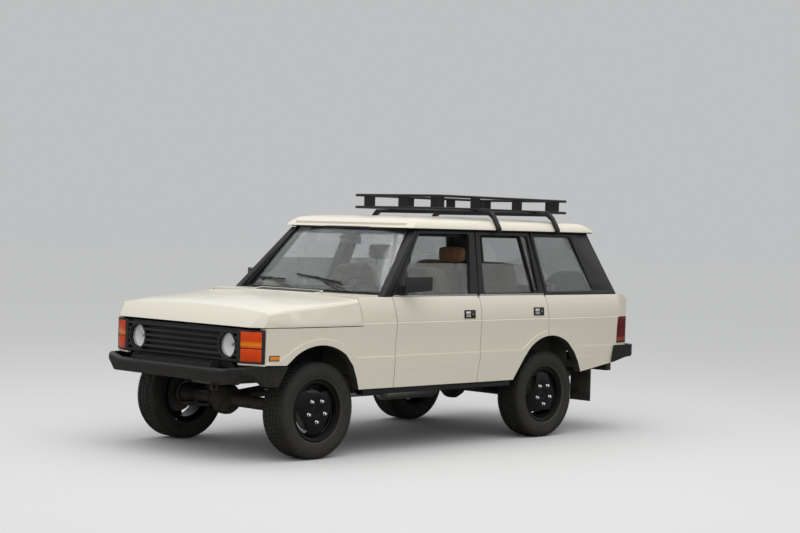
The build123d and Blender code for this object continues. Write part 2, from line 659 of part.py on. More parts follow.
# Front bumper: a folded steel beam with swept ends, raked corners and a tray behind it
with BuildPart() as front_bumper:
    beam_plan = [
        (0, -2228), (600, -2228), (792, -2180), (848, -2120), (892, -1830), (870, -1830), (828, -2096),
        (780, -2140), (596, -2196), (0, -2196),
    ]
    whole_plan = beam_plan + [(-x, y) for x, y in beam_plan[-2::-1]][:-1]
    slab(Plane.XY.offset(540), whole_plan, 165)
    slab(Plane.YZ.offset(-900), [
        (-2200, 566), (-2228, 638), (-2223, 654), (-2206, 668), (-2150, 688), (-2100, 694), (-1833, 690),
        (-1912, 547), (-2140, 558),
    ], 1800, mode=Mode.INTERSECT)
    for side in (1, -1):
        corner = Plane(origin=(0, 0, 0), x_dir=(side, -1, 0), z_dir=(-1, -side, 0))
        rake = [(2100, 640), (2034, 556), (2020, 530), (2160, 530), (2160, 640)]
        extrude(outline(corner, rake), amount=1200, both=True, mode=Mode.SUBTRACT)
    block((-470, 470), (-2204, -2124), (668, 680))
    for y in (-2204, -2180, -2156, -2132):
        block((-470, 470), (y, y + 10), (676, 697))
    for side in (1, -1):
        xs = sorted((side * 345, side * 415))
        block(xs, (-2204, -2150), (590, 674))
        xs = sorted((side * 450, side * 474))
        block(xs, (-2190, -2124), (668, 710))
finish(front_bumper, "front_bumper")

with BuildPart() as rear_bumper:
    beam_plan = [
        (0, 2228), (760, 2228), (860, 2196), (905, 2120), (908, 1860), (888, 1860), (884, 2104), (846, 2176),
        (756, 2206), (0, 2206),
    ]
    whole_plan = beam_plan + [(-x, y) for x, y in beam_plan[-2::-1]][:-1]
    slab(Plane.XY.offset(590), whole_plan, 155)
    slab(Plane.YZ.offset(-920), [
        (1866, 594), (2050, 634), (2180, 644), (2228, 660), (2228, 722), (2216, 740), (1900, 740),
    ], 1840, mode=Mode.INTERSECT)
    block((-770, 770), (2165, 2218), (722, 740))
    for side in (1, -1):
        xs = sorted((side * 340, side * 420))
        block(xs, (2110, 2215), (600, 670))
        block(xs, (2110, 2140), (505, 660))
finish(rear_bumper, "rear_bumper")


def hatch_side():
    """Side view of the upper tailgate."""
    with BuildSketch(Plane.YZ.offset(-900)) as drawn:
        with BuildLine():
            Line((2082, GATE_SPLIT_Z), (2149, GATE_SPLIT_Z))
            ThreePointArc((2149, GATE_SPLIT_Z), (2112, 1116), (2010, BELT_Z - 2))
            Polyline((2010, BELT_Z - 2), (1994, 1196), (1792, 1694), (1748, 1694), (1946, 1196), (2040, 1100),
                     (2082, GATE_SPLIT_Z))
        make_face()
    return drawn.sketch


# Upper tailgate: a frame that follows the tail and holds the rear window
HATCH_FRONT_VIEW = [
    (-742, GATE_SPLIT_Z), (742, GATE_SPLIT_Z), (742, 1180), (640, 1694), (-640, 1694), (-742, 1180),
]
HATCH_WINDOW = [(-690, 1214), (690, 1214), (602, 1652), (-602, 1652)]
with BuildPart() as tailgate_upper:
    extrude(hatch_side(), amount=1800)
    slab(Plane.XZ.offset(-2300), HATCH_FRONT_VIEW, 700, mode=Mode.INTERSECT)
    slab(Plane.XZ.offset(-2300), HATCH_WINDOW, 700, corner=40, mode=Mode.SUBTRACT)
finish(tailgate_upper, "tailgate_upper")

with BuildPart() as tailgate_glass:
    slab(Plane.YZ.offset(-900), [(1984, 1196), (1782, 1694), (1776, 1694), (1978, 1196)], 1800)
    slab(Plane.XZ.offset(-2300), HATCH_WINDOW, 700, corner=40, mode=Mode.INTERSECT)
finish(tailgate_glass, "tailgate_glass")

# Lower tailgate drops down to lie level
with BuildPart() as tailgate_lower:
    extrude(tail_profile(), amount=1800)
    block((-742, 742), (2094, 2300), (756, GATE_SPLIT_Z - 6), mode=Mode.INTERSECT)
finish(tailgate_lower, "tailgate_lower")

# Engine, gearbox and shafts
with BuildPart() as engine:
    slab(Plane.XZ.offset(1880), [
        (-150, 500), (150, 500), (210, 620), (300, 880), (230, 955), (-230, 955), (-300, 880), (-210, 620),
    ], -660)
finish(engine, "engine")

DIFF_X = -190
with BuildPart() as driveline:
    bell_housing = [(-150, 470), (150, 470), (160, 600), (110, 690), (-110, 690), (-160, 600)]
    slab(Plane.XZ.offset(1219), bell_housing, -420)
    gearbox = [(-110, 480), (110, 480), (120, 600), (80, 680), (-80, 680), (-120, 600)]
    slab(Plane.XZ.offset(800), gearbox, -370)
    block((-280, 140), (-430, -180), (384, 556))
    rod((DIFF_X, -425, 400), (DIFF_X, -1300, 372), 27)
    rod((DIFF_X, -185, 430), (DIFF_X, 830, 372), 27)
finish(driveline, "driveline")


# Live axles
SPRING_SEAT_Z = 404
ROD_SIDES = 16
housing = faceted_ball(122)


def axle(y, ball_x, nose):
    """A live axle: tubes, differential housing and nose towards the propeller shaft."""
    rod((-ball_x, y, TYRE_RADIUS), (ball_x, y, TYRE_RADIUS), 46, ROD_SIDES)
    with Locations((DIFF_X, y, TYRE_RADIUS)):
        add(housing)
    rod((DIFF_X, y, TYRE_RADIUS), (DIFF_X, y + nose, TYRE_RADIUS + 16), 52, ROD_SIDES)
    for x in (-380, 380):
        block((x - 56, x + 56), (y - 56, y + 56), (TYRE_RADIUS + 30, SPRING_SEAT_Z))
        arm_ys = sorted((y, y + 76 * nose / abs(nose)))
        block((x - 32, x + 32), arm_ys, (TYRE_RADIUS - 30, TYRE_RADIUS + 36))


with BuildPart() as front_axle:
    axle(FRONT_AXLE_Y, KINGPIN_X - 30, 200)
    with Locations((KINGPIN_X, FRONT_AXLE_Y, TYRE_RADIUS), (-KINGPIN_X, FRONT_AXLE_Y, TYRE_RADIUS)):
        add(faceted_ball(76))
finish(front_axle, "front_axle")

HUB_END_X = 832
DISC_SIDES = 32
with BuildPart() as rear_axle:
    axle(REAR_AXLE_Y, 640, -190)
    for side in (1, -1):
        rod((side * 630, REAR_AXLE_Y, TYRE_RADIUS), (side * 770, REAR_AXLE_Y, TYRE_RADIUS), 62, ROD_SIDES)
        rod((side * 768, REAR_AXLE_Y, TYRE_RADIUS), (side * 786, REAR_AXLE_Y, TYRE_RADIUS), 150, DISC_SIDES)
        rod((side * 780, REAR_AXLE_Y, TYRE_RADIUS), (side * HUB_END_X, REAR_AXLE_Y, TYRE_RADIUS), 66, ROD_SIDES)
finish(rear_axle, "rear_axle")

# Springs, dampers and locating arms
ARM_SIDES = 12
with BuildPart() as suspension:
    for y, top in ((FRONT_AXLE_Y, 575), (REAR_AXLE_Y, 585)):
        for side in (1, -1):
            rod((side * 380, y, SPRING_SEAT_Z), (side * 380, y, top), 45, ROD_SIDES)
    for side in (1, -1):
        rod((side * 380, FRONT_AXLE_Y + 79, TYRE_RADIUS), (side * 380, -760, 422), 26, ARM_SIDES)
        rod((side * 380, REAR_AXLE_Y - 79, TYRE_RADIUS), (side * 380, 330, 422), 24, ARM_SIDES)
        rod((side * 470, REAR_AXLE_Y + 72, 372), (side * 470, 1240, 640), 24, ARM_SIDES)
        rod((side * 415, 1240, 640), (side * 452, 1240, 640), 18, ARM_SIDES)
finish(suspension, "suspension")

# Steering knuckles: a spherical housing over the axle's ball, with hub, disc and steering arm
with BuildPart() as knuckle_left:
    with Locations((KINGPIN_X, FRONT_AXLE_Y, TYRE_RADIUS)):
        add(faceted_ball(100))
    rod((720, FRONT_AXLE_Y, TYRE_RADIUS), (HUB_END_X, FRONT_AXLE_Y, TYRE_RADIUS), 66, ROD_SIDES)
    rod((770, FRONT_AXLE_Y, TYRE_RADIUS), (788, FRONT_AXLE_Y, TYRE_RADIUS), 150, DISC_SIDES)
    rod((KINGPIN_X, FRONT_AXLE_Y, 440), (KINGPIN_X, FRONT_AXLE_Y, 470), 30)
    slab(Plane.XY.offset(250), [
        (650, -1470), (700, -1470), (640, -1345), (600, -1330), (596, -1358), (625, -1375),
    ], 22)
    with Locations((KINGPIN_X, FRONT_AXLE_Y, TYRE_RADIUS)):
        add(faceted_ball(86), mode=Mode.SUBTRACT)
    block((500, KINGPIN_X + 12), (-1620, -1400), (294, 500), mode=Mode.SUBTRACT)
finish(knuckle_left, "knuckle_left")
other_side(knuckle_left, "knuckle_right")

with BuildPart() as track_rod:
    rod((-606, -1345, 291), (606, -1345, 291), 15, ARM_SIDES)
finish(track_rod, "track_rod")

# Wheels: tyre and three-window rim, as outlines of (x from the wheel's middle, radius)
TYRE_PROFILE = [
    (-117, 264), (-114, 302), (-104, 338), (-86, TYRE_RADIUS), (86, TYRE_RADIUS), (104, 338), (114, 302), (117, 264),
    (104, 233), (91, 227.5), (-91, 227.5), (-104, 233),
]
RIM_PROFILE = [
    (-102, 226), (-84, 206), (84, 206), (102, 226), (102, 212), (74, 194), (89, 150), (98, 112), (98, 0), (88, 0),
    (88, 108), (79, 146), (64, 190), (-86, 190), (-102, 212),
]
TYRE_SIDES = 48
RIM_SIDES = 24
WINDOW_INNER = 130
WINDOW_OUTER = 182
WINDOW_HALF_ANGLE = radians(38)


def rim_windows(turn):
    """Three windows through the dish, the first turned from the rear by turn degrees."""
    corner = (WINDOW_OUTER * cos(WINDOW_HALF_ANGLE), WINDOW_OUTER * sin(WINDOW_HALF_ANGLE))
    middle = (WINDOW_OUTER * cos(WINDOW_HALF_ANGLE / 2), WINDOW_OUTER * sin(WINDOW_HALF_ANGLE / 2))
    window = outline(Plane.XY, [
        (WINDOW_INNER, -50), (WINDOW_INNER, 50), corner, middle, (WINDOW_OUTER, 0),
        (middle[0], -middle[1]), (corner[0], -corner[1]),
    ])
    with BuildSketch(Plane.YZ.offset(40)) as windows:
        add([window.rotate(Axis.Z, turn + 120 * number) for number in range(3)])
    extrude(windows.sketch, amount=70, mode=Mode.SUBTRACT)


with BuildPart() as tyre:
    add(faceted(TYRE_PROFILE, TYRE_SIDES))
rim_blank = faceted(RIM_PROFILE, RIM_SIDES)

# Wheel name, side, axle and how far the rim is turned in degrees
WHEELS = [
    ("front_left", 1, FRONT_AXLE_Y, 90),
    ("front_right", -1, FRONT_AXLE_Y, 90),
    ("rear_left", 1, REAR_AXLE_Y, 30),
    ("rear_right", -1, REAR_AXLE_Y, 30),
]
for place, side, axle_y, turn in WHEELS:
    with BuildPart() as rim:
        add(rim_blank)
        rim_windows(turn)
    spot = Location((side * WHEEL_X, axle_y, TYRE_RADIUS), (0, 0, 90 - 90 * side))
    with BuildPart() as one_tyre:
        add(tyre.part.moved(spot))
    finish(one_tyre, f"tyre_{place}")
    with BuildPart() as one_rim:
        add(rim.part.moved(spot))
    finish(one_rim, f"rim_{place}")

# Exhaust along the right, fuel tank at the rear, mud flaps behind the wheels
with BuildPart() as exhaust:
    rod((230, -1000, 384), (230, -240, 384), 28)
    rod((230, -250, 390), (230, 330, 390), 75)
    rod((230, 320, 390), (230, 880, 452), 28)
finish(exhaust, "exhaust")

with BuildPart() as fuel_tank:
    slab(Plane.XZ.offset(-1490), [
        (-335, 640), (-335, 430), (-290, 400), (290, 400), (335, 430), (335, 640),
    ], -540)
finish(fuel_tank, "fuel_tank")

with BuildPart() as mud_flaps:
    for side in (1, -1):
        xs = sorted((side * 655, side * 872))
        block(xs, (1612, 1622), (268, 545))
        xs = sorted((side * 416, side * 860))
        block(xs, (1600, 1612), (505, 545))
finish(mud_flaps, "mud_flaps")

# Roof basket: two tube hoops, flat plates between them and slats across the floor
RACK_CORNER = 36


def hoop_outline(reach):
    """The hoop's plan grown by reach on every side, with cut corners."""
    with BuildSketch(Plane.XY) as plan:
        with Locations((0, (RACK_FRONT_Y + RACK_REAR_Y) / 2)):
            Rectangle(2 * (RACK_HALF_WIDTH + reach), RACK_LENGTH + 2 * reach)
        chamfer(plan.vertices(), RACK_CORNER)
    return plan.sketch


with BuildPart() as hoop:
    extrude(hoop_outline(RACK_TUBE), amount=2 * RACK_TUBE)
    extrude(hoop_outline(-RACK_TUBE), amount=2 * RACK_TUBE, mode=Mode.SUBTRACT)
    chamfer(hoop.edges().filter_by(Plane.XY), RACK_TUBE * 0.58)
with BuildPart() as roof_rack:
    with Locations((0, 0, RACK_FLOOR_Z - RACK_TUBE), (0, 0, RACK_TOP_Z - RACK_TUBE)):
        add(hoop.part)
    for y in (195, 590, 985, 1380, 1600):
        for side in (1, -1):
            xs = sorted((side * (RACK_HALF_WIDTH - 2), side * (RACK_HALF_WIDTH + 2)))
            block(xs, (y - 56, y + 56), (RACK_FLOOR_Z, RACK_TOP_Z))
    for x in (-330, 0, 330):
        for y in (RACK_FRONT_Y, RACK_REAR_Y):
            block((x - 56, x + 56), (y - 2, y + 2), (RACK_FLOOR_Z, RACK_TOP_Z))
    slat_count = 12
    for number in range(slat_count):
        y = RACK_FRONT_Y + (number + 1) * (RACK_REAR_Y - RACK_FRONT_Y) / (slat_count + 1)
        block((-RACK_HALF_WIDTH, RACK_HALF_WIDTH), (y - 12, y + 12), (RACK_FLOOR_Z - 4, RACK_FLOOR_Z + 4))
finish(roof_rack, "roof_rack")

# Cross bars with curved legs down to clamps on the gutters
BAR_Z = 1843
LEG = [
    (560, 1857), (660, 1857), (700, 1820), (762, 1722), (762, 1690), (744, 1690), (743, 1718), (690, 1795),
    (640, 1829), (560, 1829),
]
with BuildPart() as rack_bars:
    for y in BAR_YS:
        block((-630, 630), (y - 14, y + 14), (BAR_Z - 14, BAR_Z + 14))
        for side in (1, -1):
            slab(Plane.XZ.offset(-y - 22), [(side * x, z) for x, z in LEG], 44)
    for x in (-470, 470):
        for y in BAR_YS:
            block((x - 20, x + 20), (y - 20, y + 20), (1856, 1860))
finish(rack_bars, "rack_bars")

# Cabin: dashboard with column, seats, spare wheel and steering wheel
WHEEL_CENTRE = (400, -560, 1105)
COLUMN_TILT = 28
column_axis = Vector(0, cos(radians(COLUMN_TILT)), sin(radians(COLUMN_TILT)))
with BuildPart() as dashboard:
    slab(Plane.YZ.offset(-770), [
        (-1073, 960), (-1073, 1148), (-860, 1146), (-700, 1120), (-650, 1060), (-680, 900), (-760, 900),
    ], 1540)
    start = Vector(*WHEEL_CENTRE) - column_axis * 120
    rod(tuple(start), tuple(Vector(*WHEEL_CENTRE) - column_axis * 32), 36)
finish(dashboard, "dashboard")

with BuildPart() as steering_wheel:
    wheel_plane = Plane(origin=WHEEL_CENTRE, z_dir=column_axis, x_dir=(1, 0, 0))
    with BuildSketch(wheel_plane.offset(-9)):
        RegularPolygon(196, 24)
        RegularPolygon(172, 24, mode=Mode.SUBTRACT)
    extrude(amount=20)
    with BuildSketch(wheel_plane.offset(-25)):
        RegularPolygon(55, 16)
    extrude(amount=30)
    with BuildSketch(wheel_plane.offset(-7)):
        with PolarLocations(115, 4, start_angle=20):
            Rectangle(130, 26)
    extrude(amount=10)
finish(steering_wheel, "steering_wheel")


def seat(x, width, y_front, y_back):
    """Cushion, leaning back and headrest of one seat, as plain closed forms."""
    half = width / 2
    slab(Plane.YZ.offset(x - half), [
        (y_front, 640), (y_front, 862), (y_front + 60, 888), (y_back - 170, 860), (y_back - 60, 1425),
        (y_back + 45, 1425), (y_back - 30, 820), (y_back - 70, 640),
    ], width)
    block((x - 130, x + 130), (y_back - 45, y_back + 40), (1434, 1556))
    block((x - 60, x + 60), (y_back - 15, y_back + 15), (1410, 1440))


with BuildPart() as front_seats:
    for x in (-415, 415):
        seat(x, 480, -330, 340)
        block((x - 190, x + 190), (-310, 240), (606, 645))
finish(front_seats, "front_seats")

with BuildPart() as rear_seat:
    slab(Plane.YZ.offset(-640), [
        (480, 700), (480, 885), (540, 905), (950, 880), (1040, 1445), (1130, 1445), (1060, 900), (1060, 746),
        (598, 746), (598, 700),
    ], 1280)
    for side in (1, -1):
        xs = sorted((side * 580, side * 700))
        block(xs, (602, 1200), (690, 898), mode=Mode.SUBTRACT)
    block((-560, 560), (490, 600), (606, 705))
finish(rear_seat, "rear_seat")

SPARE_RADIUS = 312
SPARE_Y = 1660
SPARE_PROFILE = [
    (-103, 0), (-103, SPARE_RADIUS - 34), (-72, SPARE_RADIUS), (72, SPARE_RADIUS), (103, SPARE_RADIUS - 34), (103, 0),
]
spare = faceted(SPARE_PROFILE, 32)
with BuildPart() as spare_wheel:
    with Locations((561, SPARE_Y, LOAD_FLOOR_Z + SPARE_RADIUS)):
        add(spare)
finish(spare_wheel, "spare_wheel")
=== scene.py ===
import bpy
from math import cos, radians, sin, tau
from mathutils import Matrix, Vector
from mathutils.bvhtree import BVHTree
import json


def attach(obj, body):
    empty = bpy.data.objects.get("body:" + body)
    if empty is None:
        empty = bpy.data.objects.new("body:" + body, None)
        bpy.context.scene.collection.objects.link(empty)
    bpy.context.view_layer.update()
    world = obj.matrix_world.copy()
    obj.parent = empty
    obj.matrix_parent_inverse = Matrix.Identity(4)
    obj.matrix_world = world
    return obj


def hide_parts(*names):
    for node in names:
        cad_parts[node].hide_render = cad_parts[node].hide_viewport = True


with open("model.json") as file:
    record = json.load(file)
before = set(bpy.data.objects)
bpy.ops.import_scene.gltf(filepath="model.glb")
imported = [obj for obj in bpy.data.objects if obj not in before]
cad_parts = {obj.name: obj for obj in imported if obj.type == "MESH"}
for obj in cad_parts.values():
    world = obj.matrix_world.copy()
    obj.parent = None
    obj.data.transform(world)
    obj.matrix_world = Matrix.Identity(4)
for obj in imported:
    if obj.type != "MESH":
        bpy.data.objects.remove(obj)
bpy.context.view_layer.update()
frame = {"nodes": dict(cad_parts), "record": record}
nodes = frame["nodes"]
bodyOfNode = {}
for bodyName, nodeNames in frame["record"]["behaviour"]["bodies"].items():
    for nodeName in nodeNames:
        bodyOfNode[nodeName] = bodyName
shell = "body_shell"
print("frame loaded")

# Camera at the photograph's place
camera = {"place": (10.158, -10.022, 1.703), "yaw": -0.784476, "pitch": -0.0223584, "roll": 0.0271833,
          "lens": 78.2, "sensor": 36, "farthest": 300}


def addCamera():
    yaw, pitch, roll = camera["yaw"], camera["pitch"], camera["roll"]
    ahead = Vector((sin(yaw) * cos(pitch), cos(yaw) * cos(pitch), sin(pitch)))
    level = Vector((cos(yaw), -sin(yaw), 0))
    upright = level.cross(ahead)
    right = level * cos(roll) + upright * sin(roll)
    up = upright * cos(roll) - level * sin(roll)
    bpy.ops.object.camera_add()
    made = bpy.context.object
    turn = Matrix((right, up, -ahead)).transposed().to_4x4()
    made.matrix_world = Matrix.Translation(camera["place"]) @ turn
    made.data.lens = camera["lens"]
    made.data.sensor_width = camera["sensor"]
    made.data.clip_end = camera["farthest"]
    bpy.context.scene.camera = made


addCamera()

# Small steps for shader nodes


def feed(tree, socket, value):  # links another node's output, or sets a plain value
    if isinstance(value, bpy.types.NodeSocket):
        tree.links.new(value, socket)
    else:
        socket.default_value = value


def node(tree, kind, values=None, **settings):
    made = tree.nodes.new(kind)
    for key, value in settings.items():
        setattr(made, key, value)
    for key, value in (values or {}).items():
        feed(tree, made.inputs[key], value)
    return made


def combine(tree, operation, first, second=0.0):
    return node(tree, "ShaderNodeMath", {0: first, 1: second}, operation=operation).outputs[0]


def mixed(tree, share, first, second):
    made = node(tree, "ShaderNodeMix", {"Factor": share, "A": first, "B": second}, data_type="RGBA")
    return made.outputs["Result"]


def placeOn(tree):  # where a point is on the piece
    return node(tree, "ShaderNodeTexCoord").outputs["Object"]


def heightOn(tree):
    return node(tree, "ShaderNodeSeparateXYZ", {0: placeOn(tree)}).outputs["Z"]


# Shared effects, each a node group that the finishes below are built with
midGrey = (0.5, 0.5, 0.5, 1)


def newGroup(name, inputs, outputs):
    tree = bpy.data.node_groups.new(name, "ShaderNodeTree")
    for label, value in inputs.items():
        kind = "NodeSocketColor" if isinstance(value, tuple) else "NodeSocketFloat"
        tree.interface.new_socket(label, in_out="INPUT", socket_type=kind).default_value = value
    for label in outputs:
        kind = "NodeSocketColor" if label == "Color" else "NodeSocketFloat"
        tree.interface.new_socket(label, in_out="OUTPUT", socket_type=kind)
    return tree, tree.nodes.new("NodeGroupInput").outputs, tree.nodes.new("NodeGroupOutput").inputs


def makeToneDrift():  # slow patches a little lighter and darker
    tree, given, result = newGroup("toneDrift", {"Color": midGrey, "Scale": 3.0, "Amount": 0.1},
                                   ("Color", "Mask"))
    noise = node(tree, "ShaderNodeTexNoise", {"Vector": placeOn(tree), "Scale": given["Scale"], "Detail": 4.0,
                                              "Roughness": 0.6}).outputs[0]
    shift = combine(tree, "MULTIPLY", combine(tree, "SUBTRACT", noise, 0.5), given["Amount"])
    value = combine(tree, "ADD", combine(tree, "MULTIPLY", shift, 2.0), 1.0)
    bright = node(tree, "ShaderNodeHueSaturation", {"Value": value, "Color": given["Color"]})
    feed(tree, result["Color"], bright.outputs[0])
    feed(tree, result["Mask"], noise)
    return tree


def makeRoadDust():  # pale dust that thins out with height above the road
    tree, given, result = newGroup("roadDust", {"Color": midGrey, "Dust": (0.35, 0.29, 0.22, 1), "Top": 0.6,
                                                "Amount": 0.3}, ("Color", "Mask"))
    noise = node(tree, "ShaderNodeTexNoise", {"Vector": placeOn(tree), "Scale": 14.0, "Detail": 6.0,
                                              "Roughness": 0.7})
    fade = node(tree, "ShaderNodeMapRange", {"Value": heightOn(tree), "From Max": given["Top"], "To Min": 1.0,
                                             "To Max": 0.0})
    patchy = node(tree, "ShaderNodeMapRange", {"Value": noise.outputs[0], "From Min": 0.35, "From Max": 0.75})
    mask = combine(tree, "MULTIPLY", combine(tree, "MULTIPLY", fade.outputs[0], patchy.outputs[0]),
                   given["Amount"])
    feed(tree, result["Color"], mixed(tree, mask, given["Color"], given["Dust"]))
    feed(tree, result["Mask"], mask)
    return tree


def makeSpeckle():  # fine moulded or painted grain, as a height
    tree, given, result = newGroup("speckle", {"Scale": 400.0}, ("Height",))
    noise = node(tree, "ShaderNodeTexNoise", {"Vector": placeOn(tree), "Scale": given["Scale"], "Detail": 3.0,
                                              "Roughness": 0.55})
    feed(tree, result["Height"], noise.outputs[0])
    return tree


def makeHideGrain():  # pebbled grain of leathercloth and moulded trim, as a height
    tree, given, result = newGroup("hideGrain", {"Scale": 300.0}, ("Height",))
    cells = node(tree, "ShaderNodeTexVoronoi", {"Vector": placeOn(tree), "Scale": given["Scale"]},
                 feature="SMOOTH_F1")
    feed(tree, result["Height"], cells.outputs["Distance"])
    return tree


def makeWeave():  # crossing threads, as a height
    tree, given, result = newGroup("weave", {"Scale": 250.0}, ("Height",))
    total = 0.0
    for direction in ("X", "Y", "Z"):
        wave = node(tree, "ShaderNodeTexWave", {"Vector": placeOn(tree), "Scale": given["Scale"],
                                                "Distortion": 0.6, "Detail": 1.0}, bands_direction=direction)
        total = combine(tree, "ADD", total, wave.outputs["Fac"])
    feed(tree, result["Height"], combine(tree, "MULTIPLY", total, 0.33))
    return tree


def makePaintedGlowBand():  # painted glow: blends towards a lighter colour around one height, standing in for light off the reflector behind a lens
    tree, given, result = newGroup("paintedGlowBand", {"Color": midGrey, "GlowColour": (1, 1, 1, 1), "Height": 0.8,
                                                 "Spread": 0.02}, ("Color",))
    off = combine(tree, "ABSOLUTE", combine(tree, "SUBTRACT", heightOn(tree), given["Height"]))
    share = combine(tree, "DIVIDE", off, given["Spread"])
    fade = node(tree, "ShaderNodeMapRange", {"Value": share, "To Min": 1.0, "To Max": 0.0},
                interpolation_type="SMOOTHSTEP")
    feed(tree, result["Color"], mixed(tree, fade.outputs[0], given["Color"], given["GlowColour"]))
    return tree


groups = {"toneDrift": makeToneDrift(), "roadDust": makeRoadDust(), "speckle": makeSpeckle(),
          "hideGrain": makeHideGrain(), "weave": makeWeave(), "paintedGlowBand": makePaintedGlowBand()}
dustTone = (0.36, 0.29, 0.2, 1)


def addGroup(tree, name, values):
    return node(tree, "ShaderNodeGroup", values, node_tree=groups[name])


def makeFinish(name, colour, rough=(0.4, 0.5), metal=0.0, drift=(3.0, 0.08), relief=("speckle", 400, 0.2),
               dust=None, coat=0.0, sheen=0.0, pressLine=None, specular=0.5, paintedGlow=None):
    finish = bpy.data.materials.new(name)
    finish.use_nodes = True
    tree = finish.node_tree
    tone = addGroup(tree, "toneDrift", {"Color": (*colour, 1), "Scale": drift[0], "Amount": drift[1]})
    spread = node(tree, "ShaderNodeMapRange", {"Value": tone.outputs["Mask"], "From Min": 0.3,
                                               "From Max": 0.7, "To Min": rough[0], "To Max": rough[1]})
    colourOut, roughOut = tone.outputs["Color"], spread.outputs[0]
    if dust:
        dirt = addGroup(tree, "roadDust", {"Color": colourOut, "Top": dust[0], "Amount": dust[1],
                                           "Dust": dustTone})
        colourOut = dirt.outputs["Color"]
        roughOut = combine(tree, "ADD", roughOut, combine(tree, "MULTIPLY", dirt.outputs["Mask"], 0.5))
    if paintedGlow:  # painted glow: a lighter level standing in for the lit reflector where a bulb sits behind a lens
        colourOut = addGroup(tree, "paintedGlowBand", {"Color": colourOut, "Height": paintedGlow[0], "Spread": paintedGlow[1],
                                                 "GlowColour": (*paintedGlow[2], 1)}).outputs["Color"]
    height = combine(tree, "MULTIPLY", addGroup(tree, relief[0], {"Scale": relief[1]}).outputs["Height"],
                     relief[2])
    if pressLine:  # a soft step pressed into the panels at one height
        level, half, deep = pressLine
        step = node(tree, "ShaderNodeMapRange", {"Value": heightOn(tree), "From Min": level - half,
                                                 "From Max": level + half, "To Max": deep},
                    interpolation_type="SMOOTHSTEP")
        height = combine(tree, "ADD", height, step.outputs[0])
    bump = node(tree, "ShaderNodeBump", {"Height": height, "Distance": 0.001, "Strength": 1.0})
    shader = tree.nodes["Principled BSDF"]
    for key, value in {"Base Color": colourOut, "Roughness": roughOut, "Normal": bump.outputs[0],
                       "Metallic": metal, "Coat Weight": coat, "Coat Roughness": 0.12, "Sheen Weight": sheen,
                       "Specular IOR Level": specular}.items():
        feed(tree, shader.inputs[key], value)
    return finish


def makeGlass(name, colour, alpha, rough=0.02, relief=("speckle", 30, 0.03), specular=1.0):
    finish = makeFinish(name, colour, (rough, rough + 0.02), relief=relief, drift=(2.0, 0.03),
                        specular=specular)
    shader = finish.node_tree.nodes["Principled BSDF"]
    shader.inputs["Transmission Weight"].default_value = 1.0
    shader.inputs["Alpha"].default_value = alpha
    shader.inputs["IOR"].default_value = 1.45
    return finish
